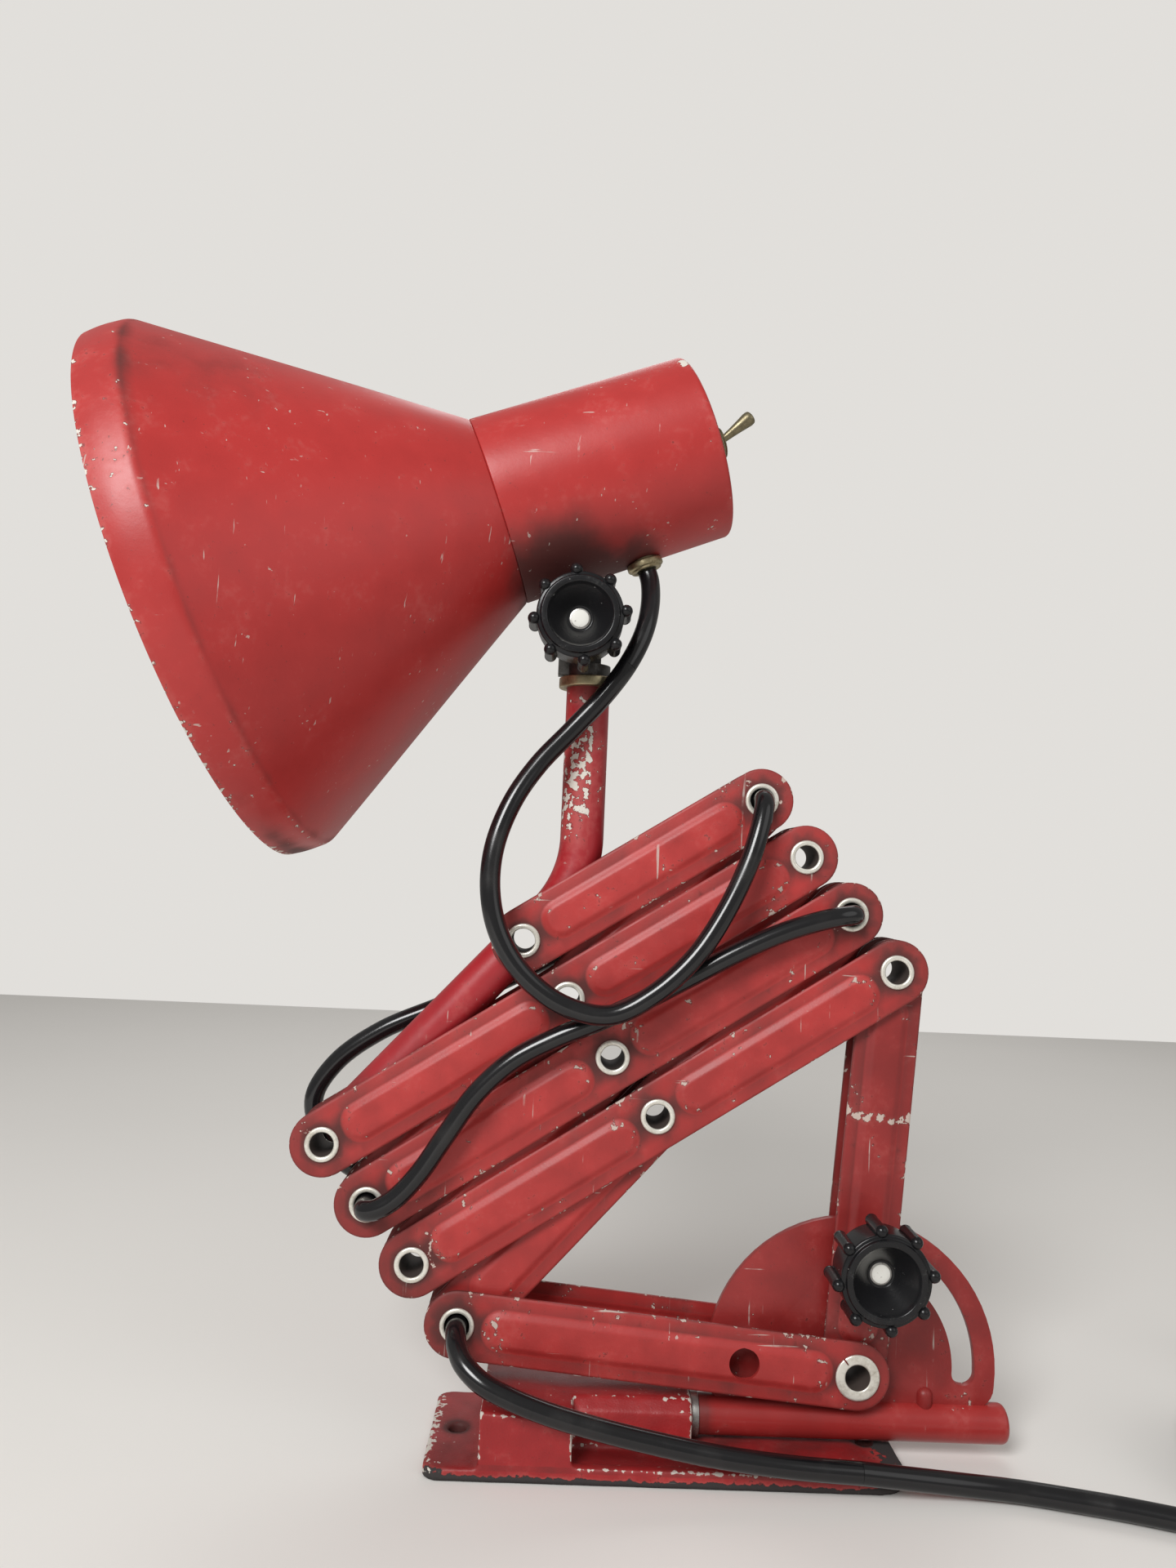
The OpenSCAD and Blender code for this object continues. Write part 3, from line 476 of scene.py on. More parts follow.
def make_object(name, verts, faces, material, attributes=None, uv=None, fix=False, sharp=SHARP):
    """A mesh object at the origin, smooth up to an angle, with its point attributes."""
    mesh = bpy.data.meshes.new(name)
    mesh.from_pydata([tuple(v) for v in verts], [], [tuple(f) for f in faces])
    mark(mesh, attributes or {})
    if uv is not None:
        layer = mesh.uv_layers.new(name="lay")
        order = np.zeros(len(mesh.loops), np.int32)
        mesh.loops.foreach_get("vertex_index", order)
        layer.data.foreach_set("uv", np.asarray(uv, np.float32)[order].ravel())
    if fix:
        with editing(mesh) as bm:
            bmesh.ops.remove_doubles(bm, verts=bm.verts, dist=1e-7)
            bmesh.ops.recalc_face_normals(bm, faces=bm.faces)
    mesh.shade_smooth()
    mesh.set_sharp_from_angle(angle=math.radians(sharp))
    mesh.materials.append(material)
    return linked(name, mesh)


def settle(obj, body, slot, *nodes):
    """Attaches a finished piece to its body and hides the CAD nodes that it stands for; the slot is not
    used.
    """
    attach(obj, body)
    if nodes:
        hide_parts(*nodes)
    return obj


def frame_matrix(origin, x, y, z):
    m = Matrix((x, y, z)).transposed().to_4x4()
    m.translation = origin
    return m


def on_front(origin, angle=0.0, side=1):
    """Local x along the angle, y across it, z out of the lattice's front, or of its rear if side is -1."""
    x = heading(angle)
    y = Vector((-math.sin(angle), 0, math.cos(angle)))
    return frame_matrix(origin, x, y, Vector((0, -side, 0)))


def on_head(back=0.0):
    """The head's frame at a distance behind its neck: z back along its axis, x down."""
    return frame_matrix(NECK + HEAD_DIR * back, HEAD_DOWN, Vector((0, 1, 0)), HEAD_DIR)


def rounded(points, radius, steps=4, closed=False):
    """A profile with its corners rounded off; a point may carry its own radius as a third number."""
    out, n = [], len(points)
    for i, p in enumerate(points):
        r = p[2] if len(p) > 2 else radius
        if (not closed and i in (0, n - 1)) or r <= 0:
            out.append((p[0], p[1]))
            continue
        here = Vector(p[:2])
        before, after = Vector(points[i - 1][:2]) - here, Vector(points[(i + 1) % n][:2]) - here
        cut = min(r, before.length * 0.45, after.length * 0.45)
        a, b = here + before.normalized() * cut, here + after.normalized() * cut
        for k in range(steps + 1):
            t = k / steps
            q = a * (1 - t) ** 2 + here * 2 * t * (1 - t) + b * t**2
            out.append((q.x, q.y))
    return out


def divided(profile, gap, closed=False):
    """A profile with its long runs cut to a gap, so that marks can vary along them."""
    out = [] if closed else [profile[0]]
    ends = profile[1:] + profile[:1] if closed else profile[1:]
    for a, b in zip(profile, ends):
        count = max(1, round(math.dist(a, b) / gap))
        steps = range(count) if closed else range(1, count + 1)
        out += [tuple(p + (q - p) * k / count for p, q in zip(a, b)) for k in steps]
    return out


def lathe(
    name, profile, place, material, segments=64, closed=True, marks=None, shift=None, sharp=SHARP, gap=None
):
    """Turns a profile of (radius, height) in mm round the local z axis.
    marks gives point attributes from (radius, height, angle), and shift moves points.
    gap leaves an opening, given by the angle of its middle and its width in degrees."""
    middle, opening = gap or (0, 0)
    start, turn = math.radians(middle + opening / 2), math.radians(360 - opening)
    rows, columns = len(profile), segments + 1 if gap else segments
    verts, values = [], {}
    for k in range(columns):
        a = start + turn * k / segments
        for r, h in profile:
            wide = (r + (shift(r, h, a) if shift else 0.0)) * MM
            verts.append(place @ Vector((wide * math.cos(a), wide * math.sin(a), h * MM)))
            for key, value in (marks(r, h, a) if marks else {}).items():
                values.setdefault(key, []).append(value)
    last = rows if closed else rows - 1
    faces = []
    for k in range(segments):
        n = (k + 1) % columns
        for i in range(last):
            j = (i + 1) % rows
            faces.append((k * rows + i, n * rows + i, n * rows + j, k * rows + j))
    if gap:
        faces += [list(range(rows)), list(range(segments * rows, columns * rows))]
    return make_object(name, verts, faces, material, values, fix=True, sharp=sharp)


def turned(name, look, profile, place, corner, steps=3, segments=48, closed=True, **more):
    """A turned piece in a named finish, the corners of its profile rounded off."""
    profile = rounded(profile, corner, steps, closed)
    return lathe(name, profile, place, finish(look), segments, closed, **more)


def join(name, parts, sharp=SHARP):
    """One object from several, keeping their attributes and materials."""
    with bpy.context.temp_override(
        active_object=parts[0], selected_editable_objects=parts, object=parts[0]
    ):
        bpy.ops.object.join()
    parts[0].name = parts[0].data.name = name
    parts[0].data.set_sharp_from_angle(angle=math.radians(sharp))
    return parts[0]


def between(first, second, start, end, t):
    """The first point at the start, the second at the end, and evenly between."""
    return (end - t) / (end - start) * first + (t - start) / (end - start) * second


def smooth_route(points, per_span=8):
    """A smooth curve through points, in metres, as evenly cut as the points allow."""
    p = [np.array(q, float) for q in points]
    p = [2 * p[0] - p[1]] + p + [2 * p[-1] - p[-2]]
    out = []
    for i in range(1, len(p) - 2):
        a, b, c, d = p[i - 1 : i + 3]
        t0 = 0.0
        t1 = t0 + np.linalg.norm(b - a) ** 0.5
        t2 = t1 + np.linalg.norm(c - b) ** 0.5
        t3 = t2 + np.linalg.norm(d - c) ** 0.5
        for k in range(per_span):
            t = t1 + (t2 - t1) * k / per_span
            ab, bc, cd = between(a, b, t0, t1, t), between(b, c, t1, t2, t), between(c, d, t2, t3, t)
            abc, bcd = between(ab, bc, t0, t2, t), between(bc, cd, t1, t3, t)
            out.append(between(abc, bcd, t1, t2, t))
    out.append(p[-2])
    return np.array(out)


def sweep(name, route, radius, sides, material, shape=None, marks=None, bore=0.0):
    """A round tube along a route; shape bends each ring's points, and bore opens it as a pipe."""
    tangents = np.gradient(route, axis=0)
    tangents /= np.linalg.norm(tangents, axis=1)[:, None]
    up = np.cross(tangents[0], [0.3, 0.2, 1.0])
    up /= np.linalg.norm(up)
    travel = np.concatenate([[0], np.cumsum(np.linalg.norm(np.diff(route, axis=0), axis=1))])
    verts, uv, values = [], [], {}
    rings = []
    for q, t, s in zip(route, tangents, travel):
        up = up - t * np.dot(up, t)
        up /= np.linalg.norm(up)
        rings.append((q, up, np.cross(t, up), s))
    radii = [radius] + ([bore] if bore else [])
    for r in radii:
        for q, u, w, s in rings:
            for k in range(sides):
                a = 2 * math.pi * k / sides
                v = q + r * (math.cos(a) * u + math.sin(a) * w)
                v = shape(v, q) if shape else v
                verts.append(v)
                uv.append((k / sides, s))
                for key, value in (marks(v) if marks else {}).items():
                    values.setdefault(key, []).append(value)
    n, faces = len(route), []
    for layer in range(len(radii)):
        base = layer * n * sides
        for i in range(n - 1):
            for k in range(sides):
                m = (k + 1) % sides
                here, ahead = base + i * sides, base + (i + 1) * sides
                faces.append([here + k, here + m, ahead + m, ahead + k])
    if bore:
        inner = n * sides
        for i in (0, n - 1):
            for k in range(sides):
                m = (k + 1) % sides
                faces.append([i * sides + k, i * sides + m, inner + i * sides + m, inner + i * sides + k])
    else:
        faces.append(list(range(sides)))
        faces.append(list(range((n - 1) * sides, n * sides)))
    obj = make_object(name, verts, faces, material, values, uv)
    with editing(obj.data) as bm:
        bmesh.ops.recalc_face_normals(bm, faces=bm.faces)
    return obj


def cad_node(name):
    return frame["nodes"][name]


def copied(node):
    """A copy of a CAD node's mesh, with no material."""
    mesh = cad_node(node).data.copy()
    mesh.materials.clear()
    return mesh


def softened(node, name, material, width=0.35, angle=38):
    """A copy of a CAD node with its flat faces merged and its edges rounded."""
    mesh = copied(node)
    obj = linked(name, mesh)
    with editing(mesh) as bm:
        bmesh.ops.remove_doubles(bm, verts=bm.verts, dist=2e-6)
        bmesh.ops.dissolve_limit(
            bm, angle_limit=math.radians(1.0), verts=bm.verts, edges=bm.edges, delimit={"NORMAL"}
        )
        bmesh.ops.recalc_face_normals(bm, faces=bm.faces)
    for layer in list(mesh.attributes):
        if layer.name == "custom_normal":
            mesh.attributes.remove(layer)
    mesh.materials.append(material)
    bevel = obj.modifiers.new("edges", "BEVEL")
    bevel.width, bevel.segments, bevel.limit_method = width * MM, 2, "ANGLE"
    bevel.angle_limit = math.radians(angle)
    bevel.use_clamp_overlap = True
    return bake(obj, 30)


# ---- Geometry Nodes ----


SOCKETS = {int: "NodeSocketInt", float: "NodeSocketFloat"}


def geometry_tree(name, build, **inputs):
    """A Geometry Nodes tree with named inputs; build returns the geometry that it ends in."""
    tree = bpy.data.node_groups.new(name, "GeometryNodeTree")
    tree.interface.new_socket("Geometry", in_out="INPUT", socket_type="NodeSocketGeometry")
    for key, default in inputs.items():
        label, kind = key.replace("_", " "), SOCKETS[type(default)]
        item = tree.interface.new_socket(label, in_out="INPUT", socket_type=kind)
        item.default_value = default
    tree.interface.new_socket("Material", in_out="INPUT", socket_type="NodeSocketMaterial")
    tree.interface.new_socket("Geometry", in_out="OUTPUT", socket_type="NodeSocketGeometry")
    net = Network(tree)
    group = tree.nodes.new("NodeGroupInput")
    given = {s.name: Value(net, s) for s in group.outputs if s.name}
    made = build(net, given)
    real = net.add("GeometryNodeRealizeInstances", None, made)
    painted = net.add("GeometryNodeSetMaterial", None, real, Material=given["Material"])
    out = tree.nodes.new("NodeGroupOutput")
    tree.links.new(painted.socket, out.inputs[0])
    return tree


def grown(name, source, tree, values, sharp=SHARP):
    """Runs a Geometry Nodes tree on a source mesh and returns the result as a plain object."""
    obj = linked(name, source)
    modifier = obj.modifiers.new("made", "NODES")
    modifier.node_group = tree
    for item in tree.interface.items_tree:
        if item.in_out == "INPUT" and item.name in values:
            modifier[item.identifier] = values[item.name]
    return bake(obj, sharp)


def regrown(name, body, tree, values, place):
    """Grows a tree on a turned body in its own frame, in its material, and puts it in place."""
    source = body.data
    bpy.data.objects.remove(body)
    obj = grown(name, source, tree, {**values, "Material": source.materials[0]})
    obj.data.transform(place)
    return obj


def joined(net, *parts):
    """Join Geometry of several parts."""
    node = net.tree.nodes.new("GeometryNodeJoinGeometry")
    for part in parts:
        net.tree.links.new(part.socket, node.inputs[0])
    return Value(net, node.outputs[0])


def moved(net, part, offset=(0, 0, 0), turn=(0, 0, 0), scale=(1, 1, 1)):
    return net.add(
        "GeometryNodeTransform", None, part, Translation=offset, Rotation=turn, Scale=scale
    )


def eyelet_tree():
    """At every point: a hollow rivet with a rolled rim at each end, its axis along Y."""

    def build(net, given):
        def ring(radius, profile):
            path = net.add("GeometryNodeCurvePrimitiveCircle", None, Resolution=40, Radius=radius)
            tube = net.add("GeometryNodeCurveToMesh", None, path, profile)
            return moved(net, tube, turn=(math.pi / 2, 0, 0))

        rim_r, rim_w, reach = given["Rim radius"], given["Rim width"], given["Reach"]
        edge = net.add("GeometryNodeCurvePrimitiveCircle", None, Resolution=14, Radius=rim_w)
        rim = ring(rim_r, moved(net, edge, scale=(1, 0.62, 1)))
        front, rear = net.vector(y=reach * -1.0), net.vector(y=reach)
        wall = net.add("GeometryNodeCurvePrimitiveQuadrilateral", None, Width=0.001, Height=reach * 2.0)
        sleeve = ring(given["Sleeve radius"], wall)
        # The sleeve's inside is marked for painted shade
        sleeve = net.add("GeometryNodeStoreNamedAttribute", None, Geometry=sleeve, Name="dirt", Value=2.0)
        one = joined(net, moved(net, rim, front), moved(net, rim, rear), sleeve)
        return net.add("GeometryNodeInstanceOnPoints", None, given["Geometry"], Instance=one)

    return geometry_tree(
        "eyelets", build, Rim_radius=0.00545, Rim_width=0.00098, Sleeve_radius=0.0050, Reach=0.0112
    )


def rib_tree():
    """Ball-ended ribs round a turned body, from one rib on a circle of points."""

    def build(net, given):
        circle = net.add(
            "GeometryNodeMeshCircle", {"fill_type": "NONE"}, given["Ribs"], given["Ring radius"]
        )
        circle = moved(net, circle, turn=(0, 0, math.radians(7)))
        size = {"Radius": given["Rib radius"], "Depth": given["Rib length"]}
        stem = net.add("GeometryNodeMeshCylinder", None, Vertices=20, **size)
        ball = net.add("GeometryNodeMeshUVSphere", None, 20, 12, given["Rib radius"] * 1.06)
        up, down = (net.vector(z=given["Rib length"] * share) for share in (0.5, -0.5))
        rib = joined(net, stem, moved(net, ball, up), moved(net, ball, down))
        places = moved(net, circle, net.vector(z=given["Rib middle"]))
        ribs = net.add("GeometryNodeInstanceOnPoints", None, places, Instance=rib)
        return joined(net, given["Geometry"], ribs)

    ring = {"Ribs": 8, "Ring_radius": 0.0168}
    return geometry_tree("knob ribs", build, **ring, Rib_radius=0.0021, Rib_length=0.01, Rib_middle=0.0102)


def thread_tree():
    """Rings stacked along Z, as a thread's crests, round what it is given."""

    def build(net, given):
        path = net.add("GeometryNodeCurvePrimitiveCircle", None, Resolution=48, Radius=given["Radius"])
        profile = net.add("GeometryNodeCurvePrimitiveCircle", None, Resolution=8, Radius=given["Crest"])
        crest = net.add("GeometryNodeCurveToMesh", None, path, profile)
        offset = net.vector(z=given["Pitch"])
        line = net.add("GeometryNodeMeshLine", {"mode": "OFFSET"}, given["Turns"], Offset=offset)
        places = moved(net, line, net.vector(z=given["Start"]))
        crests = net.add("GeometryNodeInstanceOnPoints", None, places, Instance=crest)
        return joined(net, given["Geometry"], crests)

    return geometry_tree("thread", build, Turns=5, Radius=0.006, Crest=0.0003, Pitch=0.001, Start=0.0)


# ---- Stage ----

# The camera's place, its yaw, pitch and roll in degrees, and its sensor's width and lens in mm
VIEW_PLACE, VIEW_ANGLES = (-0.0452, -0.4308, 0.2120), (0.98, 4.51, 2.468)
SENSOR, LENS = 36.0, 25.44
# Name, place, width in metres and power in watts
LAMPS = (
    ("key", (-0.60, -1.15, 1.02), 0.65, 20.5),
    ("fill", (1.1, -0.9, 0.9), 1.2, 3.0),
    ("rim", (0.2, 1.2, 1.3), 1.0, 5.0),
)
LAMP_MIDDLE = (-0.04, 0, 0.2)
# The room's brightness as light, and as the camera sees it
ROOM_LIGHT, ROOM_SEEN = 0.42, 0.97


class LAMP_OT_stage(bpy.types.Operator):
    """Make the camera, the lights and the floor"""

    bl_idname = "lamp.stage"
    bl_label = "Stage"

    def execute(self, context):
        scene = context.scene
        scene.view_settings.view_transform = "Standard"
        yaw, pitch, roll = (math.radians(a) for a in VIEW_ANGLES)
        ahead = Vector((math.sin(yaw) * math.cos(pitch), math.cos(yaw) * math.cos(pitch), math.sin(pitch)))
        level = Vector((math.cos(yaw), -math.sin(yaw), 0))
        over = level.cross(ahead)
        right = level * math.cos(roll) + over * math.sin(roll)
        up = over * math.cos(roll) - level * math.sin(roll)
        camera = bpy.data.cameras.new("camera")
        camera.sensor_width, camera.lens = SENSOR, LENS
        camera.clip_start, camera.clip_end = 0.02, 30
        eye = bpy.data.objects.new("camera", camera)
        eye.matrix_world = frame_matrix(Vector(VIEW_PLACE), right, up, -ahead)
        scene.collection.objects.link(eye)
        scene.camera = eye
        for lamp in LAMPS:
            self.lamp(scene, *lamp)
        self.world(scene)
        self.floor()
        return {"FINISHED"}

    @staticmethod
    def lamp(scene, name, place, size, power):
        light = bpy.data.lights.new(name, "AREA")
        light.shape, light.size, light.energy = "DISK", size, power
        obj = bpy.data.objects.new(name, light)
        obj.location = place
        aim = Vector(LAMP_MIDDLE) - Vector(place)
        obj.rotation_euler = aim.to_track_quat("-Z", "Y").to_euler()
        scene.collection.objects.link(obj)

    @staticmethod
    def world(scene):
        world = bpy.data.worlds.new("room")
        scene.world = world
        world.use_nodes = True
        net = Network(world.node_tree)
        for node in list(net.tree.nodes):
            net.tree.nodes.remove(node)
        pale = tuple(colours().floor)
        path = net.tree.nodes.new("ShaderNodeLightPath")
        seen = Value(net, path.outputs["Is Camera Ray"])
        soft = net.add("ShaderNodeBackground", None, Color=(*pale, 1), Strength=ROOM_LIGHT)
        wall = net.add("ShaderNodeBackground", None, Color=(*pale, 1), Strength=ROOM_SEEN)
        mix = net.add("ShaderNodeMixShader", None, seen, soft, wall)
        out = net.tree.nodes.new("ShaderNodeOutputWorld")
        net.tree.links.new(mix.socket, out.inputs["Surface"])

    @staticmethod
    def floor():
        reach, level = 1.2, -0.0004
        corners = ((-reach, -reach), (reach, -reach), (reach, reach), (-reach, reach))
        verts = [(x, y, level) for x, y in corners]
        make_object("floor", verts, [(0, 1, 2, 3)], plain_surface("floor_pale", colours().floor))


# ---- Cord ----

CORD_R = 3.75

LOOP_TOP = [
    (-21, 0, 339.2), (-18.2, 0, 331.9), (-16.8, -0.9, 327), (-16.6, -4.5, 317), (-19, -9.5, 304.5),
    (-25, -12.6, 291),
]
LOOP_NECK = [(-25, -12.6, 291), (-34, -13.4, 278), (-45, -15, 265), (-57, -18, 251), (-66, -22, 236)]
LOOP_LOW = [
    (-66, -22, 236), (-71.5, -25, 219), (-72, -26.5, 203),
    (-68, -27.5, 188), (-59, -28.5, 174.5), (-44, -29, 164), (-27, -29, 161), (-12, -28.5, 168.5),
    (3, -27, 182.5), (14, -25.5, 199.5), (22, -24, 217), (26.4, -21.5, 231), (28.3, -18, 239.4),
    (28.5, -14.5, 241.9), (28.5, -12.2, 241.9),
]
FRONT_RUN = [
    (63.9, -12.2, 200), (63.9, -14.5, 200), (62.6, -18.3, 200), (58, -20.6, 199.4), (50, -21, 197.5),
    (37, -21, 193), (22, -21, 186), (4, -21, 176), (-14, -21, 166), (-31, -21, 157.6), (-46, -21, 151),
    (-61, -21, 142.5), (-74, -21, 130), (-84, -21, 115), (-93, -21, 101), (-101, -21, 92),
    (-108, -20.4, 87.6), (-112, -18.2, 86.6), (-112.8, -14.5, 86.5), (-112.8, -12.2, 86.5),
]
REAR_HIGH = [
    (-112.8, -12.1, 86.5), (-112.8, 14.5, 86.5), (-114.4, 18.6, 86.9), (-120, 20.8, 89), (-130, 21, 95),
    (-138, 21, 105), (-141, 21, 118), (-133, 21, 132), (-116, 21, 145), (-92, 21, 156), (-66, 21, 168),
    (-38, 21, 184), (-10, 21, 203), (8, 21, 219), (20, 20.8, 232), (26, 18.6, 240), (28.5, 14.5, 241.9),
    (28.5, -12.1, 241.9),
]
REAR_LOW = [
    (-77.4, -12.1, 44.8), (-77.4, 14.5, 44.8), (-76, 18.6, 46.6), (-71, 21, 53), (-60, 21, 68),
    (-42, 21, 92), (-20, 21, 117), (4, 21, 142), (28, 21, 166), (48, 21, 186), (58, 20.8, 195),
    (62.4, 18.6, 199), (63.9, 14.5, 200), (63.9, -12.1, 200),
]
TAIL = [
    (-77.4, -12.2, 44.8), (-77.4, -14.5, 44.8), (-77, -18.5, 44), (-76, -23, 42), (-73, -28, 38.5),
    (-66, -32, 34), (-56, -33.8, 30), (-43, -34.8, 26), (-27, -35, 22), (-6, -34.8, 17.6),
    (18, -34.3, 13.4), (44, -33.8, 10.6), (66, -32.8, 9),
]
MAINS = [
    (66, -32.8, 9), (86, -31.3, 6.8), (104, -30, 4.8), (122, -31, 3.8),
    (138, -35, 3.8), (154, -39.5, 3.8), (170, -45, 3.8), (187, -51.3, 3.8), (203, -56.8, 3.8),
]
LEAD = [(287.4, -7, 18.4), (289.4, 0, 18), (291, 6.5, 18), (292, 13, 18)]
COIL_CENTRE, COIL_OUTER, COIL_INNER = (240.0, -20.0), 45.0, 37.5
# Angles in degrees where the coil's cord reaches a radius and a layer height
COIL_STEPS = [
    (250, COIL_OUTER, 3.75), (560, COIL_OUTER, 3.75), (600, COIL_INNER, 3.75), (870, COIL_INNER, 3.75),
    (910, COIL_INNER, 11.25), (1180, COIL_INNER, 11.25), (1220, COIL_OUTER, 11.25),
    (1490, COIL_OUTER, 11.25), (1530, COIL_OUTER, 18.75), (1775, COIL_OUTER, 18.75),
]


def metres(points):
    return [tuple(c * MM for c in p) for p in points]


def split_route(route, *places):
    """A smooth route cut at the points nearest the places, so its pieces meet end to end."""
    cuts = [0] + [int(np.argmin(np.linalg.norm(route - np.array(p) * MM, axis=1))) for p in places]
    cuts.append(len(route) - 1)
    return [route[a : b + 1] for a, b in zip(cuts, cuts[1:])]


def coil_points():
    out = []
    for (a0, r0, z0), (a1, r1, z1) in zip(COIL_STEPS, COIL_STEPS[1:]):
        count = max(2, round((a1 - a0) / 15))
        for k in range(count):
            t = k / count
            ease = t * t * (3 - 2 * t)
            a, r, z = math.radians(a0 + (a1 - a0) * t), r0 + (r1 - r0) * ease, z0 + (z1 - z0) * ease
            out.append((COIL_CENTRE[0] + r * math.cos(a), COIL_CENTRE[1] + r * math.sin(a), z))
    return out


class LAMP_OT_cords(bpy.types.Operator):
    """Make the black cord: the loop, the runs along the lattice, and the lead with its coil"""

    bl_idname = "lamp.cords"
    bl_label = "Cords"

    def piece(self, name, route, far_end="object", lay="loose", with_pieces=()):
        obj = sweep(name, route, CORD_R * MM, sizes().cord_sides, finish("cord_rubber"))
        return obj

    def bent(self, name, route, first, second, *nodes):
        """A piece that bends between the bodies at its two ends."""
        obj = self.piece(name, route)
        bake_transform(obj, first, second, tuple(route[0]), tuple(route[-1]))
        if nodes:
            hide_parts(*nodes)

    def execute(self, context):
        loop = smooth_route(metres(LOOP_TOP + LOOP_NECK[1:] + LOOP_LOW[1:]))
        top, neck, low = split_route(loop, LOOP_NECK[0], LOOP_LOW[0])
        self.bent("cord_loop_top", top, "head", "neck", "cord_loop")
        self.bent("cord_loop_neck", neck, "neck", "lamp_arm")
        self.bent("cord_loop_low", low, "lamp_arm", "outer_1")
        for name, points, body in (
            ("cord_front_run", FRONT_RUN, "outer_3"),
            ("cord_rear_high", REAR_HIGH, "inner_2"),
            ("cord_rear_low", REAR_LOW, "inner_4"),
        ):
            obj = self.piece("lay_" + name, smooth_route(metres(points)))
            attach(obj, body)
            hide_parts(name)
        tail = smooth_route(metres(TAIL))
        first, second, third = split_route(tail, (-48, -34.5, 27.5), (-2.5, -34.7, 16.9))
        self.bent("cord_tail_lattice", first, "base_bars", "upright", "cord_tail")
        self.bent("cord_tail_upright", second, "upright", "turret")
        self.bent("cord_tail_turret", third, "turret", "bracket")
        plug = [cad_node("plug_body"), cad_node("plug_pins"), self.tie()]
        lead = smooth_route(metres(MAINS + coil_points() + LEAD), 4)
        obj = self.piece("mains_lead", lead, "plug", "coiled", plug)
        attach(obj, "bracket")
        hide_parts("mains_cord", "cord_coil", "plug_lead")
        return {"FINISHED"}

    @staticmethod
    def tie():
        """A rubber band round the coil's turns."""
        inner, outer, low, high = 33.2, 49.3, 1.2, 22.4
        shape = [(inner, low), (outer, low), (outer, high), (41.5, high), (inner, 15.2)]
        corners = rounded(shape, 3, 5, closed=True)
        a = math.radians(20)
        route = [
            Vector((COIL_CENTRE[0] + r * math.cos(a), COIL_CENTRE[1] + r * math.sin(a), h)) * MM
            for r, h in corners + corners[:1]
        ]
        obj = sweep("coil_tie", np.array([tuple(p) for p in route]), 1.0 * MM, 10, finish("cord_rubber"))
        return settle(obj, "bracket", "cord_rubber")


# ---- Bars ----


def stadium(x0, x1, r):
    """A closed loop at a distance r round the line from x0 to x1."""
    turn = max(10, round(math.pi * r / 1.7))
    run = max(1, round((x1 - x0) / 3.0))
    half_turn = [math.pi * (k / turn - 0.5) for k in range(turn + 1)]
    other_half = [math.pi * (k / turn + 0.5) for k in range(turn + 1)]
    loop = [(x1 + r * math.cos(a), r * math.sin(a)) for a in half_turn]
    loop += [(x1 - (x1 - x0) * k / run, r) for k in range(1, run)]
    loop += [(x0 + r * math.cos(a), r * math.sin(a)) for a in other_half]
    loop += [(x0 + (x1 - x0) * k / run, -r) for k in range(1, run)]
    return loop


def hump(x, width):
    """1 where x is 0, falling off smoothly over a width."""
    return np.exp(-((x / width) ** 2))


def from_line(p, x0, x1):
    """Distances of points from the line between x0 and x1."""
    return np.hypot(p[:, 0] - np.clip(p[:, 0], x0, x1), p[:, 1])


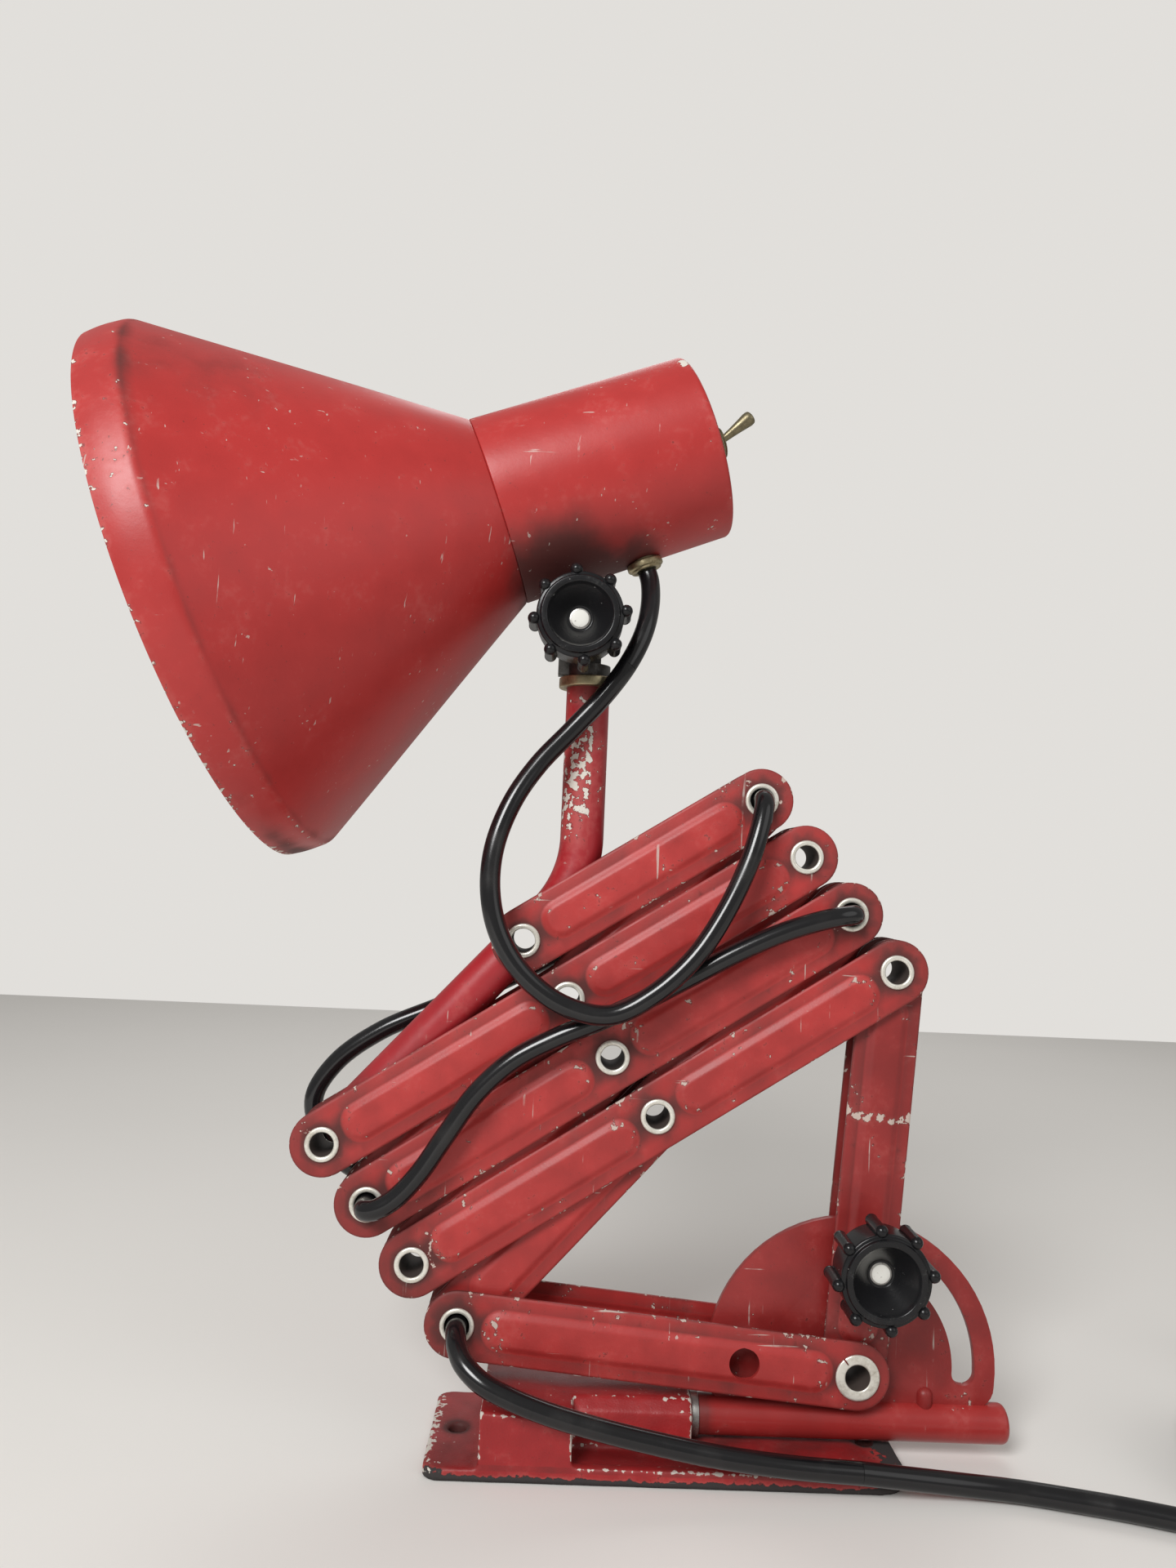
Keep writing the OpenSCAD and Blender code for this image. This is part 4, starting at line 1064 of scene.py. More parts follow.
def pressed_bar(name, origin, angle, stations, layer, side, look, holes=(), chip_band=None):
    """A bar of pressed sheet, in mm from its first pivot: rolled edges, round-ended beads, punched holes."""
    half, bead_r, ramp, flange, roll = 12.1, 7.8, 3.6, 6.4, 0.45
    sheet, rise = sizes().sheet / MM, sizes().bead_height / MM
    last = stations[-1]
    bead_in = flange + bead_r + 2.2
    beads = [(a + bead_in, b - bead_in) for a, b in zip(stations, stations[1:])]
    holes = [(s, EYELET_HOLE) for s in stations] + list(holes)
    loops = [stadium(0, last, half - e) for e in (0, 0.18, 0.5, 1.0)]
    for x0, x1 in beads:
        loops += [stadium(x0, x1, bead_r - e) for e in (0, 0.5, 1.1, 1.8, 2.5, 3.1, 3.6)]
    for x, r in holes:
        ring = [2 * math.pi * k / 30 for k in range(30)]
        for wide in (r, r + 1.3):
            loops.append([(x + wide * math.cos(a), wide * math.sin(a)) for a in ring])
    points, edges = [], []
    for loop in loops:
        base = len(points)
        points += loop
        edges += [(base + k, base + (k + 1) % len(loop)) for k in range(len(loop))]
    drawn = np.array(points)
    step = 3.2
    for i in range(int(-half / step), int((last + half) / step) + 1):
        for j in range(-4, 5):
            q = np.array([[i * step + (j % 2) * step / 2, j * step * 0.85]])
            inside = from_line(q, 0, last)[0] < half - 1.6
            clear = np.hypot(*(drawn - q[0]).T).min() > 1.5
            if inside and clear and all(math.hypot(q[0, 0] - x, q[0, 1]) > r + 1.5 for x, r in holes):
                points.append(tuple(q[0]))
    flat, _, triangles, *_ = delaunay_2d_cdt([Vector(p) for p in points], edges, [], 0, 1e-6)
    p = np.array([tuple(v) for v in flat])
    kept = []
    for t in triangles:
        middle = p[list(t)].mean(0)
        if all(math.hypot(middle[0] - x, middle[1]) > r * 0.98 for x, r in holes):
            kept.append(tuple(t))
    edge_in = half - from_line(p, 0, last)
    height = -roll * np.clip(1 - edge_in / 1.0, 0, 1) ** 2
    scuff, foot = np.zeros(len(p)), np.zeros(len(p))
    for x0, x1 in beads:
        d = from_line(p, x0, x1)
        t = np.clip((bead_r - d) / ramp, 0, 1)
        height += rise * t * t * (3 - 2 * t)
        end = (p[:, 0] < x0 + 1) | (p[:, 0] > x1 - 1)
        scuff = np.maximum(scuff, end * hump(d - bead_r + 2.4, 1.8))
        foot = np.maximum(foot, hump(d - bead_r - 0.6, 1.2))
    near = np.min([np.hypot(p[:, 0] - s, p[:, 1]) - flange for s in stations], axis=0)
    wear = np.exp(-edge_in / 0.8) * 0.42 + 0.42 * scuff
    if chip_band is not None:
        wear = wear + 1.3 * hump(p[:, 0] - chip_band, 1.6)
    # Painted shade at the bead feet, round the pivots where the layers meet, and along the edges, with some
    # grime
    dirt = 0.35 * foot + 0.6 * np.exp(-np.maximum(near, 0) / 3.5) + 0.35 * np.exp(-edge_in / 2.5)
    place = on_front(origin, angle, side)
    top = layer / MM + sheet + height
    verts = [place @ Vector((x * MM, y * MM, z * MM)) for (x, y), z in zip(p, top)]
    under = np.maximum(top - sheet, layer / MM)
    verts += [place @ Vector((x * MM, y * MM, z * MM)) for (x, y), z in zip(p, under)]
    n = len(p)
    seen = {}
    for t in kept:
        for a, b in ((t[0], t[1]), (t[1], t[2]), (t[2], t[0])):
            seen[(min(a, b), max(a, b))] = seen.get((min(a, b), max(a, b)), []) + [(a, b)]
    faces = kept + [(t[0] + n, t[2] + n, t[1] + n) for t in kept]
    faces += [(b, a, a + n, b + n) for sides in seen.values() if len(sides) == 1 for a, b in sides]
    marks = {"wear": np.tile(wear, 2), "dirt": np.tile(dirt, 2)}
    return make_object(name, verts, faces, finish(look), marks, fix=True, sharp=50)


class LAMP_OT_bars(bpy.types.Operator):
    """Make the pressed bars of the lattice, the upright and the base"""

    bl_idname = "lamp.bars"
    bl_label = "Pressed bars"

    def execute(self, context):
        full, half, long = (0, 105, 210), (0, 105), (0, 148)
        rows = [
            ("outer_bar_1", "outer_1", MID_1, OUTER_DIR, half, OUTER_Y),
            ("outer_bar_2", "outer_2", LEFT_1, OUTER_DIR, full, OUTER_Y),
            ("outer_bar_3", "outer_3", LEFT_2, OUTER_DIR, full, OUTER_Y),
            ("outer_bar_4", "outer_4", LEFT_3, OUTER_DIR, full, OUTER_Y),
            ("inner_bar_2", "inner_2", LEFT_2, INNER_DIR, full, INNER_Y),
            ("inner_bar_3", "inner_3", LEFT_3, INNER_DIR, full, INNER_Y),
            ("inner_bar_4", "inner_4", LEFT_4, INNER_DIR, full, INNER_Y),
            ("upright", "upright", MAIN, UPRIGHT_DIR, long, INNER_Y),
            ("base_bar", "base_bars", MAIN, BASE_DIR, long, OUTER_Y),
        ]
        for name, body, origin, angle, stations, layer in rows:
            for end, side in (("front", 1), ("rear", -1)):
                holes, band, look = [], None, "bar_paint"
                if name == "upright":
                    holes, band, look = [(42.5, 4.1)], 92.8 if side == 1 else None, "dull_paint"
                if name == "base_bar":
                    holes = [(42.0, 5.6)]
                given = (origin, angle, stations, layer, side, look, holes, band)
                bar = pressed_bar(f"pressed_{name}_{end}", *given)
                settle(bar, body, "bar_paint", f"{name}_{end}")
        return {"FINISHED"}


# ---- Rivets ----


def spacers(points, layers, radius=7.0):
    """Washers round pivots, each from one distance to another from the middle plane."""
    parts = []
    for p in points:
        for low, high in layers:
            section = ring_section(EYELET_HOLE, radius, low, high)
            parts.append(turned("washer", "steel", section, on_front(p), 0.25, 2, 40))
    return parts


def ring_section(inner, outer, low, high):
    """The section of a plain ring."""
    return [(inner, low), (outer, low), (outer, high), (inner, high)]


def shaded_bore(r, h, a):
    """Marks that paint shade into the bore of a hollow rivet."""
    return {"dirt": 2.0 if r < 4.7 else 0.0}


def mirrored(layers):
    return layers + [(-high, -low) for low, high in layers]


class LAMP_OT_rivets(bpy.types.Operator):
    """Make the hollow rivets with their rolled rims, sleeves and washers"""

    bl_idname = "lamp.rivets"
    bl_label = "Hollow rivets"

    def execute(self, context):
        tree = eyelet_tree()
        crossing = [(-4.35, 4.35)] + mirrored([(5.95, 9.35)])
        arm = mirrored([(8.05, 9.35)])
        rows = [
            ("rivets_1", "outer_1", [MID_1, RIGHT_1], [RIGHT_1], [MID_1]),
            ("rivets_2", "outer_2", [LEFT_1, MID_2, RIGHT_2], [MID_2, RIGHT_2], [LEFT_1]),
            ("rivets_3", "outer_3", [LEFT_2, MID_3, RIGHT_3], [LEFT_2, MID_3, RIGHT_3], []),
            ("rivets_4", "outer_4", [LEFT_3, MID_4, RIGHT_4], [LEFT_3, MID_4, RIGHT_4], []),
        ]
        for name, body, points, crossings, arm_ends in rows:
            source = bpy.data.meshes.new(name)
            source.from_pydata([tuple(p) for p in points], [], [])
            rims = grown("eyelets_" + name, source, tree, {"Material": finish("nickel")}, 40)
            parts = [rims] + spacers(crossings, crossing) + spacers(arm_ends, arm)
            settle(join("eyelets_" + name, parts), body, "nickel", name)
        self.link()
        self.base()
        return {"FINISHED"}

    @staticmethod
    def link():
        tube = ring_section(SLEEVE_IN, SLEEVE_OUT, -9.2, 9.2)
        parts = [turned("link", "nickel", tube, on_front(LEFT_4), 0.3, marks=shaded_bore)]
        parts += spacers([LEFT_4], [(-4.35, 4.35)] + mirrored([(5.95, 9.15)]))
        settle(join("link_eyelet", parts), "inner_4", "nickel", "link_rivet")

    @staticmethod
    def base():
        """The main pivot with its flat split rings, and the bushes where base bars meet the lattice."""
        main = [
            (SLEEVE_IN, -11.7, 0.3), (SLEEVE_IN, 11.7, 0.3), (SLEEVE_OUT, 11.7, 0), (SLEEVE_OUT, -11.7, 0)
        ]
        flat = [(4.6, 10.95), (8.1, 10.95), (8.1, 11.75), (7.6, 12.0), (5.0, 12.0), (4.6, 11.7)]
        bush = [
            (SLEEVE_IN, 9.45), (SLEEVE_OUT, 9.45), (SLEEVE_OUT, 10.9), (6.1, 10.9), (6.42, 11.25),
            (6.1, 11.75), (5.4, 11.95), (4.7, 11.75), (SLEEVE_IN, 11.3),
        ]
        parts = [turned("main_tube", "nickel", main, on_front(MAIN), 0.2, 2, marks=shaded_bore)]
        for side in (1, -1):
            place = on_front(MAIN, 0, side)
            parts.append(turned("main_ring", "nickel", flat, place, 0.2, 2, 72, gap=(128, 5)))
            place = on_front(LEFT_4, 0, side)
            parts.append(turned("bush", "nickel", bush, place, 0.15, 2, marks=shaded_bore))
        layers = mirrored([(1.6, 4.35), (5.95, 9.35)])
        parts += spacers([MAIN], layers, 8.0)
        settle(join("eyelets_base", parts), "base_bars", "nickel", "base_rivets")


# ---- Head ----


class LAMP_OT_shade(bpy.types.Operator):
    """Make the spun shade with its rolled lip, and its pale lining"""

    bl_idname = "lamp.shade"
    bl_label = "Shade"

    def execute(self, context):
        mouth, neck, length, lip = 103.5, 37.0, 119.0, 14.6
        outer = [
            (mouth - 1.3, 0.5 - length, 0), (mouth - 0.3, -length, 0.3), (mouth + 0.35, 6 - length, 5),
            (mouth - 0.05, lip - length, 1.8), (neck, -0.1, 0.5), (neck - 0.8, 0.25, 0.3),
        ]
        fine = divided(rounded(outer, 2, 6), 4)
        inner = [(r - 0.75, h + (0.5 if i else 0.3)) for i, (r, h) in enumerate(fine)]
        depth = sizes().dent_depth / MM

        def dents(r, h, a):
            s = (h + length) / length
            body = math.sin(math.pi * min(max(s, 0), 1))
            wave = math.sin(2 * a + 0.7) + 0.6 * math.sin(3 * a + 5 * s) + 0.5 * math.sin(5 * a - 3 * s)
            return depth * body * wave * 0.5

        def marks(r, h, a):
            edge = hump(h + length, 2.2)
            band = 0.8 * hump(h + length - lip, 1.2)
            low = 0.5 + 0.5 * math.cos(a)
            scuff = 0.35 * hump(h + length - 10, 9) * (0.5 + 0.5 * math.sin(3 * a + 1))
            # Painted shade under the neck on the low side, and a darker line just behind the crease
            dirt = 0.5 * hump(h, 7) * low ** 3 + 0.3 * hump(h + length - lip - 1.5, 1.8)
            # Dark streaks near the top
            dirt += 0.32 * hump(a - math.pi - 0.9, 0.45) * hump(h + 82, 26)
            # Darker along the lowest part of the lip band
            dirt += 0.6 * hump(h + length - 5, 6) * low ** 14
            return {"wear": edge * (0.3 + 0.4 * low) + 0.5 * band * low + 0.6 * scuff, "dirt": dirt}

        place = on_head()
        profile = fine + inner[::-1]
        shell = lathe("shade_skin", profile, place, finish("shade_paint"), 176, True, marks, dents)
        settle(shell, "head", "shade_paint", "shade")
        pale = [(r - 0.05, h) for r, h in inner[2:]]
        backed = pale + [(r - 0.35, h) for r, h in pale][::-1]
        lining = lathe("shade_lining", backed, place, finish("shade_lining"), 176, True, self.lined, dents)
        settle(lining, "head", "shade_paint")
        return {"FINISHED"}

    @staticmethod
    def lined(r, h, a):
        return {"dirt": 0.8 * hump(h, 30)}


class LAMP_OT_housing(bpy.types.Operator):
    """Make the housing behind the shade, and the collar that holds the cord"""

    bl_idname = "lamp.housing"
    bl_label = "Housing"

    def execute(self, context):
        front, back, bore, length = 37.0, 35.8, 6.05, 86.0
        outline = [
            (front - 0.9, 0.5), (front - 0.45, 0.12, 0.2), (front - 0.03, 0.5, 0.3), (back, length - 4, 2),
            (back, length, 5.4), (bore, length, 0.3), (bore, length - 0.9, 0),
            (back - 1.0, length - 1.0, 3.4),
        ]
        fine = divided(rounded(outline, 0.5, 7, closed=True), 5, closed=True)

        def marks(r, h, a):
            under = math.cos(a)
            lug = hump(h - 16, 22) * max(0, under) ** 2
            hole = hump(h - 49, 9) * max(0, under) ** 6
            back_edge = hump(h - length + 2, 2.2) * hump(r - back, 3)
            chip = 1.2 * hump(math.remainder(a - 3.9, 2 * math.pi), 0.13) * back_edge
            # Painted shade on the underside near the lug and round the cord collar, and in the seam at the
            # neck
            return {"dirt": 1.35 * lug + 0.5 * hole + 0.15 * hump(h, 1.6), "wear": 0.22 * back_edge + chip}

        shell = lathe("housing_skin", fine, on_head(), finish("shade_paint"), 144, True, marks)
        settle(shell, "head", "shade_paint", "housing")
        side = Vector((0, 1, 0))
        down = frame_matrix(NECK + HEAD_DIR * 0.049, side.cross(HEAD_DOWN), side, HEAD_DOWN)
        collar = [
            (3.85, 31.5), (5.5, 31.5), (5.5, 36.7), (7.2, 36.7, 0.5), (7.2, 39.0, 0.5), (6.2, 39.4, 0.3),
            (6.0, 40.2, 0.5), (4.6, 40.4, 0.5), (3.85, 40.0, 0.2),
        ]
        collar = turned("cord_collar", "brass", collar, down, 0.2, segments=56)
        settle(collar, "head", "aged_brass", "cord_grommet")
        settle(softened("head_lug", "tilt_lug", finish("dark_steel"), 0.5), "head", "steel", "head_lug")
        return {"FINISHED"}


class LAMP_OT_switch(bpy.types.Operator):
    """Make the toggle switch: lever, threaded bush, nut and body"""

    bl_idname = "lamp.switch"
    bl_label = "Toggle switch"

    def execute(self, context):
        lean = HEAD_TILT + math.radians(21.5)
        along = heading(lean)
        side = Vector((0, 1, 0))
        place = frame_matrix(PIVOTS["switch_throw"], side.cross(along), side, along)
        arc = [math.radians(12 * k) for k in range(12)]
        bat = [(2.2 * math.sin(a), -2.2 * math.cos(a)) for a in arc]
        bat += [(1.35, 2.6, 0.6), (2.0, 9.5, 3), (2.95, 16.3, 1.0), (2.75, 17.9, 0.7), (1.4, 18.35, 0.6)]
        bat += [(0, 18.4)]
        lever = turned("toggle_lever", "dark_brass", bat, place, 0.0, 4, 40, closed=False)
        settle(lever, "switch_lever", "aged_brass", "switch_lever")
        core = [(3.4, 85.0), (5.7, 85.0), (5.7, 94.6, 0.4), (3.4, 95.0, 0.3)]
        bush = turned("toggle_bush", "dark_brass", core, Matrix(), 0.2, segments=56)
        values = {"Turns": 9, "Radius": 0.00572, "Crest": 0.00028, "Pitch": 0.001, "Start": 0.0862}
        threaded = regrown("toggle_bush", bush, thread_tree(), values, on_head())
        settle(threaded, "head", "aged_brass", "switch_bush")
        hexagon = [(6.02, 86.0), (7.9, 86.0), (8.3, 86.5), (8.3, 88.4), (7.8, 89.0), (6.02, 89.0)]
        nut = turned("toggle_nut", "dark_brass", hexagon, on_head(), 0.2, 2, 6, sharp=20)
        settle(nut, "head", "aged_brass", "switch_nut")
        body = softened("switch_body", "toggle_body", finish("plug_moulding"), 0.6)
        settle(body, "head", "bakelite", "switch_body")
        return {"FINISHED"}


class LAMP_OT_bulb(bpy.types.Operator):
    """Make the lampholder on its bridge, and the bulb"""

    bl_idname = "lamp.bulb"
    bl_label = "Bulb and lampholder"

    def execute(self, context):
        arc = [math.radians(-90 + 6 * k) for k in range(20)]
        globe = [(30 * math.cos(a) if k else 0, -46 + 30 * math.sin(a)) for k, a in enumerate(arc)]
        glass = globe + [(14, -9, 9), (13.6, 1.4, 0.6), (0, 1.9)]
        opal = turned("bulb_opal", "bulb_opal", glass, on_head(), 0, 6, 72, closed=False)
        settle(opal, "head", "glass_white", "bulb_glass")
        shell = [
            (0, 2.0), (12.9, 2.0, 0.4), (12.9, 22, 1.2), (11, 24.2, 1), (5, 28, 0.5), (4.4, 30.4, 0.8),
            (0, 30.8),
        ]
        cap = turned("bulb_cap", "nickel", shell, Matrix(), 0.3, 4, 64, closed=False)
        values = {"Turns": 5, "Radius": 0.01275, "Crest": 0.00055, "Pitch": 0.0036, "Start": 0.0052}
        screw = regrown("bulb_screw_cap", cap, thread_tree(), values, on_head())
        settle(screw, "head", "aged_brass", "bulb_cap")
        body = [
            (13.8, 4.0, 0.5), (20, 4.0, 1.2), (20, 14, 0), (19.2, 14.6, 0.4), (19.2, 15.6, 0.4),
            (20, 16.2, 0), (20, 30, 2), (13, 38, 2), (13, 48, 0.8), (8.9, 48, 0.3), (8.9, 53, 0.6),
            (3.5, 53, 0.4), (3.5, 31), (13.8, 31),
        ]
        holder = turned("lamp_holder", "porcelain", body, on_head(), 0.2, 4, 72)
        settle(holder, "head", "white_ceramic", "lampholder")
        strap = softened("holder_bridge", "holder_strap", finish("steel"), 0.4)
        settle(strap, "head", "steel", "holder_bridge")
        return {"FINISHED"}


# ---- Knobs, bolts and arm ----


class LAMP_OT_knobs(bpy.types.Operator):
    """Make the clamp knobs with their ribs, hubs, bolts and painted stud ends"""

    bl_idname = "lamp.knobs"
    bl_label = "Clamp knobs"

    def execute(self, context):
        tree = rib_tree()
        places = (
            ("clamp", CLAMP, "clamp_knob", "upright"),
            ("tilt", TILT, "tilt_knob", "head"),
        )
        for name, pivot, body, holder in places:
            settle(self.knob(name, pivot, tree), body, "bakelite", f"{name}_knob")
            hub_from = 7.3 if name == "clamp" else 5.5
            hub = [(BOLT_BORE, hub_from), (8.0, hub_from, 0.4), (8.0, 16.95, 0.6), (BOLT_BORE, 16.95)]
            hub = turned(f"{name}_spacer", "hub_moulding", hub, on_front(pivot), 0.3)
            settle(hub, holder, "steel", f"{name}_hub")
            bolt = softened(f"{name}_bolt", f"{name}_stud", finish("steel"), 0.4)
            settle(bolt, holder, "steel", f"{name}_bolt")
            dab = [(0, 26.35), (3.3, 26.35, 0.2), (3.35, 26.8, 0.4), (2.2, 27.05, 1.5), (0, 27.1)]
            given = ("stud_paint", dab, on_front(pivot), 0.2, 4, 32)
            settle(turned(f"{name}_stud_end", *given, closed=False), holder, "steel")
        disc = ring_section(BOLT_BORE, 6.0, 1.55, 5.8)
        washers = [
            turned("clamp_washer", "steel", disc, on_front(CLAMP, 0, side), 0.3, segments=40)
            for side in (1, -1)
        ]
        settle(join("clamp_washer_pair", washers), "upright", "steel", "clamp_washers")
        return {"FINISHED"}

    @staticmethod
    def knob(name, pivot, tree):
        length, r, rim, dish = 18.5, 16.1, 14.2, 12.2
        outline = [
            (BOLT_BORE, 0), (r - 3, 0, 1), (r, 3.2, 1.5), (r, length - 1.5, 0.8),
            (rim + 0.4, length - 1.1, 0.3), (rim, length, 0.3), (dish, length, 0.4),
            (11.3, length - 1.4, 0.6), (4.7, length - 9, 0.4), (BOLT_BORE, length - 9, 0),
        ]

        def marks(radius, h, a):
            worn = 0.2 if h > length - 0.5 and radius > dish - 0.4 else 0.0
            return {"wear": worn + 0.2 * hump(radius - 8, 2.0) * (h > 9)}

        body = turned("knob", "moulding", outline, Matrix(), 0.4, 5, 72, marks=marks)
        values = {
            "Ribs": sizes().knob_ribs, "Ring radius": 0.0169, "Rib radius": 0.0022, "Rib length": 0.0124,
            "Rib middle": 0.0099,
        }
        place = on_front(pivot)
        place.translation += Vector((0, -0.017, 0))
        return regrown(f"ribbed_{name}_knob", body, tree, values, place)


def drill(obj, pivot, radius):
    """Cut a round hole along Y through an object, at a pivot."""
    profile = [(0, -20), (radius, -20), (radius, 20), (0, 20)]
    cutter = lathe("drill", profile, on_front(pivot), finish("steel"), 40, closed=False)
    cut = obj.modifiers.new("hole", "BOOLEAN")
    cut.operation, cut.solver, cut.object = "DIFFERENCE", "EXACT", cutter
    made = evaluated(obj)
    obj.modifiers.clear()
    obj.data = made
    made.set_sharp_from_angle(angle=math.radians(SHARP))
    bpy.data.objects.remove(cutter)


class LAMP_OT_arm(bpy.types.Operator):
    """Make the bent tube that carries the head, its collar and its stem"""

    bl_idname = "lamp.arm"
    bl_label = "Lamp arm"

    def execute(self, context):
        inner = heading(INNER_DIR)
        bend, radius, bore = 0.045, 0.0084, 0.0072
        turn = math.pi / 2 - INNER_DIR
        lead = bend * math.tan(turn / 2)
        corner = MID_1 + inner * ((ARM_TOP.x - MID_1.x) / inner.x)
        low, first = LEFT_1 - inner * 0.010, corner - inner * lead
        middle = Vector((ARM_TOP.x - bend, 0, corner.z + lead))
        route = [low.lerp(first, k / 40) for k in range(40)]
        arc = [-turn + turn * k / 14 for k in range(15)]
        route += [middle + heading(a) * bend for a in arc]
        start, top = route[-1], Vector(ARM_TOP)
        route += [start.lerp(top, k / 14) for k in range(1, 15)]
        flat = 7.95 * MM

        def flattened(v, q):
            near = min((Vector(q) - p).length for p in (LEFT_1, MID_1))
            limit = flat + max(0.0, near - 0.008) * 0.15
            return np.array([v[0], min(max(v[1], -limit), limit), v[2]])

        def marks(v):
            facing = 1.0 if v[0] < ARM_TOP.x + 0.003 else 0.45
            chips = hump(v[2] - 0.250, 0.032) * (v[1] < 0.001) * facing
            # Painted shade under the collar and where the tube sits between the bars at its lower pivot
            soot_and_shading = 0.5 * hump(v[2] - ARM_TOP.z, 0.012) + 0.4 * hump(v[2] - 0.12, 0.03)
            return {"wear": 0.72 * chips, "dirt": soot_and_shading}

        route = np.array([tuple(p) for p in route])
        tube = sweep("lamp_tube", route, radius, 48, finish("tube_paint"), flattened, marks, bore)
        for pivot in (LEFT_1, MID_1):
            drill(tube, pivot, 5.6)
        settle(tube, "lamp_arm", "tube_paint", "lamp_arm")
        level = Matrix.Translation(ARM_TOP)
        ring = [(8.45, -4), (11.5, -4, 0.6), (11.5, 0, 0.6), (8.45, 0)]
        collar = turned("tube_collar", "brass", ring, level, 0.3, 4, 64)
        settle(collar, "lamp_arm", "aged_brass", "arm_collar")
        tongue = softened("neck_stem", "neck_tongue", finish("dark_steel"), 0.5)
        settle(tongue, "neck", "steel", "neck_stem")
        return {"FINISHED"}


# ---- Bracket, rod and quadrant ----


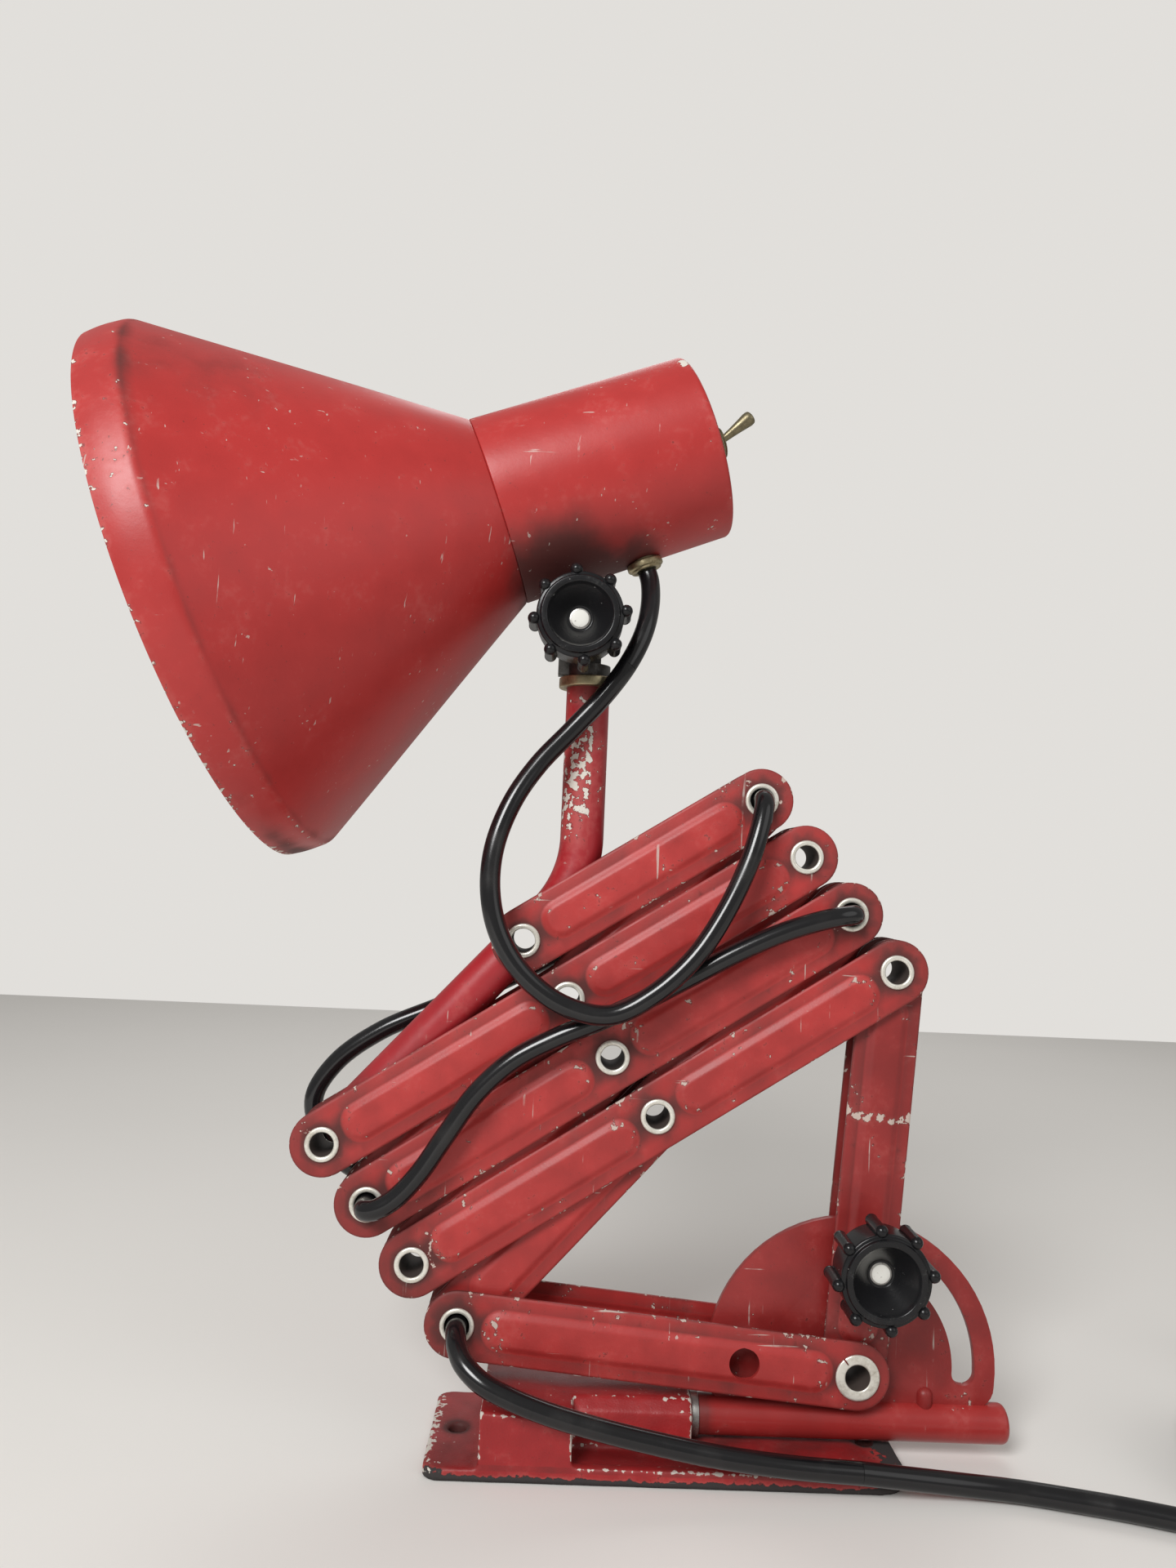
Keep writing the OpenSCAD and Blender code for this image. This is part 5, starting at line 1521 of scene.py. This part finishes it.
class LAMP_OT_bracket(bpy.types.Operator):
    """Make the cast bracket, the swivel rod with its ring, and the slotted quadrant"""

    bl_idname = "lamp.bracket"
    bl_label = "Bracket and quadrant"

    def execute(self, context):
        settle(self.casting(), "bracket", "casting_paint", "bracket_casting")
        along = frame_matrix(Vector((0, 0, 0.012)), Vector((0, 1, 0)), Vector((0, 0, 1)), Vector((1, 0, 0)))
        bar = rounded([(0, -60.4), (7, -60.4, 1), (7, 20, 0), (7, 70, 0), (7, 128.9, 2.6), (0, 129)], 0, 6)

        def marks(r, h, a):
            wear = 0.5 * hump(h - 127, 2.5) + 0.35 * hump(h - 12, 3)
            return {"wear": wear, "dirt": 0.45 * hump(h - 14, 4) + 0.2 * hump(h - 70, 50)}

        rod = lathe("swivel_bar", divided(bar, 4), along, finish("rod_paint"), 56, False, marks)
        settle(rod, "turret", "bar_paint", "swivel_rod")
        ring = [(7.05, 10.05), (7.75, 10.05, 0.2), (7.75, 12.95, 0.2), (7.05, 12.95)]
        settle(turned("rod_ring", "steel", ring, along, 0.1), "turret", "steel", "rod_collar")
        plate = softened("quadrant_plate", "quadrant", finish("dull_paint"), 0.45)
        settle(plate, "turret", "bar_paint", "quadrant_plate")
        return {"FINISHED"}

    @staticmethod
    def casting():
        """The bracket remeshed at under a millimetre, with its edges rubbed round and its skin uneven."""
        obj = linked("cast_bracket", copied("bracket_casting"))
        remesh = obj.modifiers.new("skin", "REMESH")
        remesh.mode, remesh.voxel_size = "VOXEL", 0.85 * MM
        sharp = evaluated(obj)
        rub = obj.modifiers.new("rub", "SMOOTH")
        rub.factor, rub.iterations = 0.5, 7
        round_ = evaluated(obj)
        obj.modifiers.clear()
        a, b = vectors(sharp, "co"), vectors(round_, "co")
        rubbed = np.linalg.norm(a - b, axis=1)
        spots = [Vector(p) for p in b]
        rough = np.array([noise.noise(p * 260) * 0.10 + noise.noise(p * 90) * 0.16 for p in spots])
        b = b + vectors(round_, "normal") * rough[:, None] * MM
        b[a[:, 2] < 0.6 * MM, 2] = 0.0
        b[:, 2] = b[:, 2].clip(0)
        round_.vertices.foreach_set("co", b.ravel())
        x, y, z = b.T
        left_end, right_end, socket_mouth, screw_x, screw_r = -0.086, 0.085, 0.004, 0.076, 0.0032
        front = hump(z, 2.2 * MM) * (y < -0.026)
        edges = np.clip(rubbed / (0.22 * MM), 0, 1.2)
        left = hump(x - left_end, 0.006)
        wear = edges * 0.45 + 1.3 * front + 0.25 * left + 1.1 * hump(x - right_end, 0.009) * (y < 0)
        mouth = hump(x - socket_mouth, 0.006) * (z > 0.017)
        pale = np.where(z > 0.0045, edges, 0) + 0.5 * mouth + 0.8 * left * (z > 0.001)
        # Painted shade inside the screw holes, fading out round them, and a darker band from 3 to 6 mm up
        hole = np.min([np.hypot(x - side * screw_x, y) for side in (-1, 1)], axis=0)
        dirt = 0.8 * np.exp(-np.maximum(hole - screw_r, 0) / 0.0013)
        dirt = dirt + 0.35 * (z < 0.006) * (z > 0.003)
        mark(round_, {"wear": wear, "dirt": dirt, "pale": pale})
        obj.data = round_
        round_.name = "cast_bracket"
        round_.materials.clear()
        round_.materials.append(finish("casting_paint"))
        round_.shade_smooth()
        return obj


class LAMP_OT_plug(bpy.types.Operator):
    """Finish the plug and its pins"""

    bl_idname = "lamp.plug"
    bl_label = "Plug"

    def execute(self, context):
        for node, look in (("plug_body", "plug_moulding"), ("plug_pins", "nickel")):
            mesh = cad_node(node).data
            mesh.materials.clear()
            mesh.materials.append(finish(look))
        return {"FINISHED"}


STEPS = (
    LAMP_OT_stage, LAMP_OT_cords, LAMP_OT_bars, LAMP_OT_rivets, LAMP_OT_shade, LAMP_OT_housing,
    LAMP_OT_switch, LAMP_OT_bulb, LAMP_OT_knobs, LAMP_OT_arm, LAMP_OT_bracket, LAMP_OT_plug,
)


class LAMP_PT_panel(bpy.types.Panel):
    """The lamp's sizes, colours and steps"""

    bl_idname = "LAMP_PT_panel"
    bl_label = "Scissor-arm lamp"
    bl_space_type = "VIEW_3D"
    bl_region_type = "UI"
    bl_category = "Lamp"

    def draw(self, context):
        for group in (context.scene.lamp_sizes, context.scene.lamp_colours):
            for name in group.bl_rna.properties.keys():
                if name not in ("rna_type", "name"):
                    self.layout.prop(group, name)
        for step in STEPS:
            self.layout.operator(step.bl_idname)


CLASSES = (LampSizes, LampColours, *STEPS, LAMP_PT_panel)


def register():
    for cls in CLASSES:
        bpy.utils.register_class(cls)
    bpy.types.Scene.lamp_sizes = bpy.props.PointerProperty(type=LampSizes)
    bpy.types.Scene.lamp_colours = bpy.props.PointerProperty(type=LampColours)


def unregister():
    del bpy.types.Scene.lamp_colours
    del bpy.types.Scene.lamp_sizes
    for cls in reversed(CLASSES):
        bpy.utils.unregister_class(cls)


def main():
    register()
    for step in STEPS:
        group, name = step.bl_idname.split(".")
        getattr(getattr(bpy.ops, group), name)()
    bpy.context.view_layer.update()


if __name__ == "__main__":
    main()
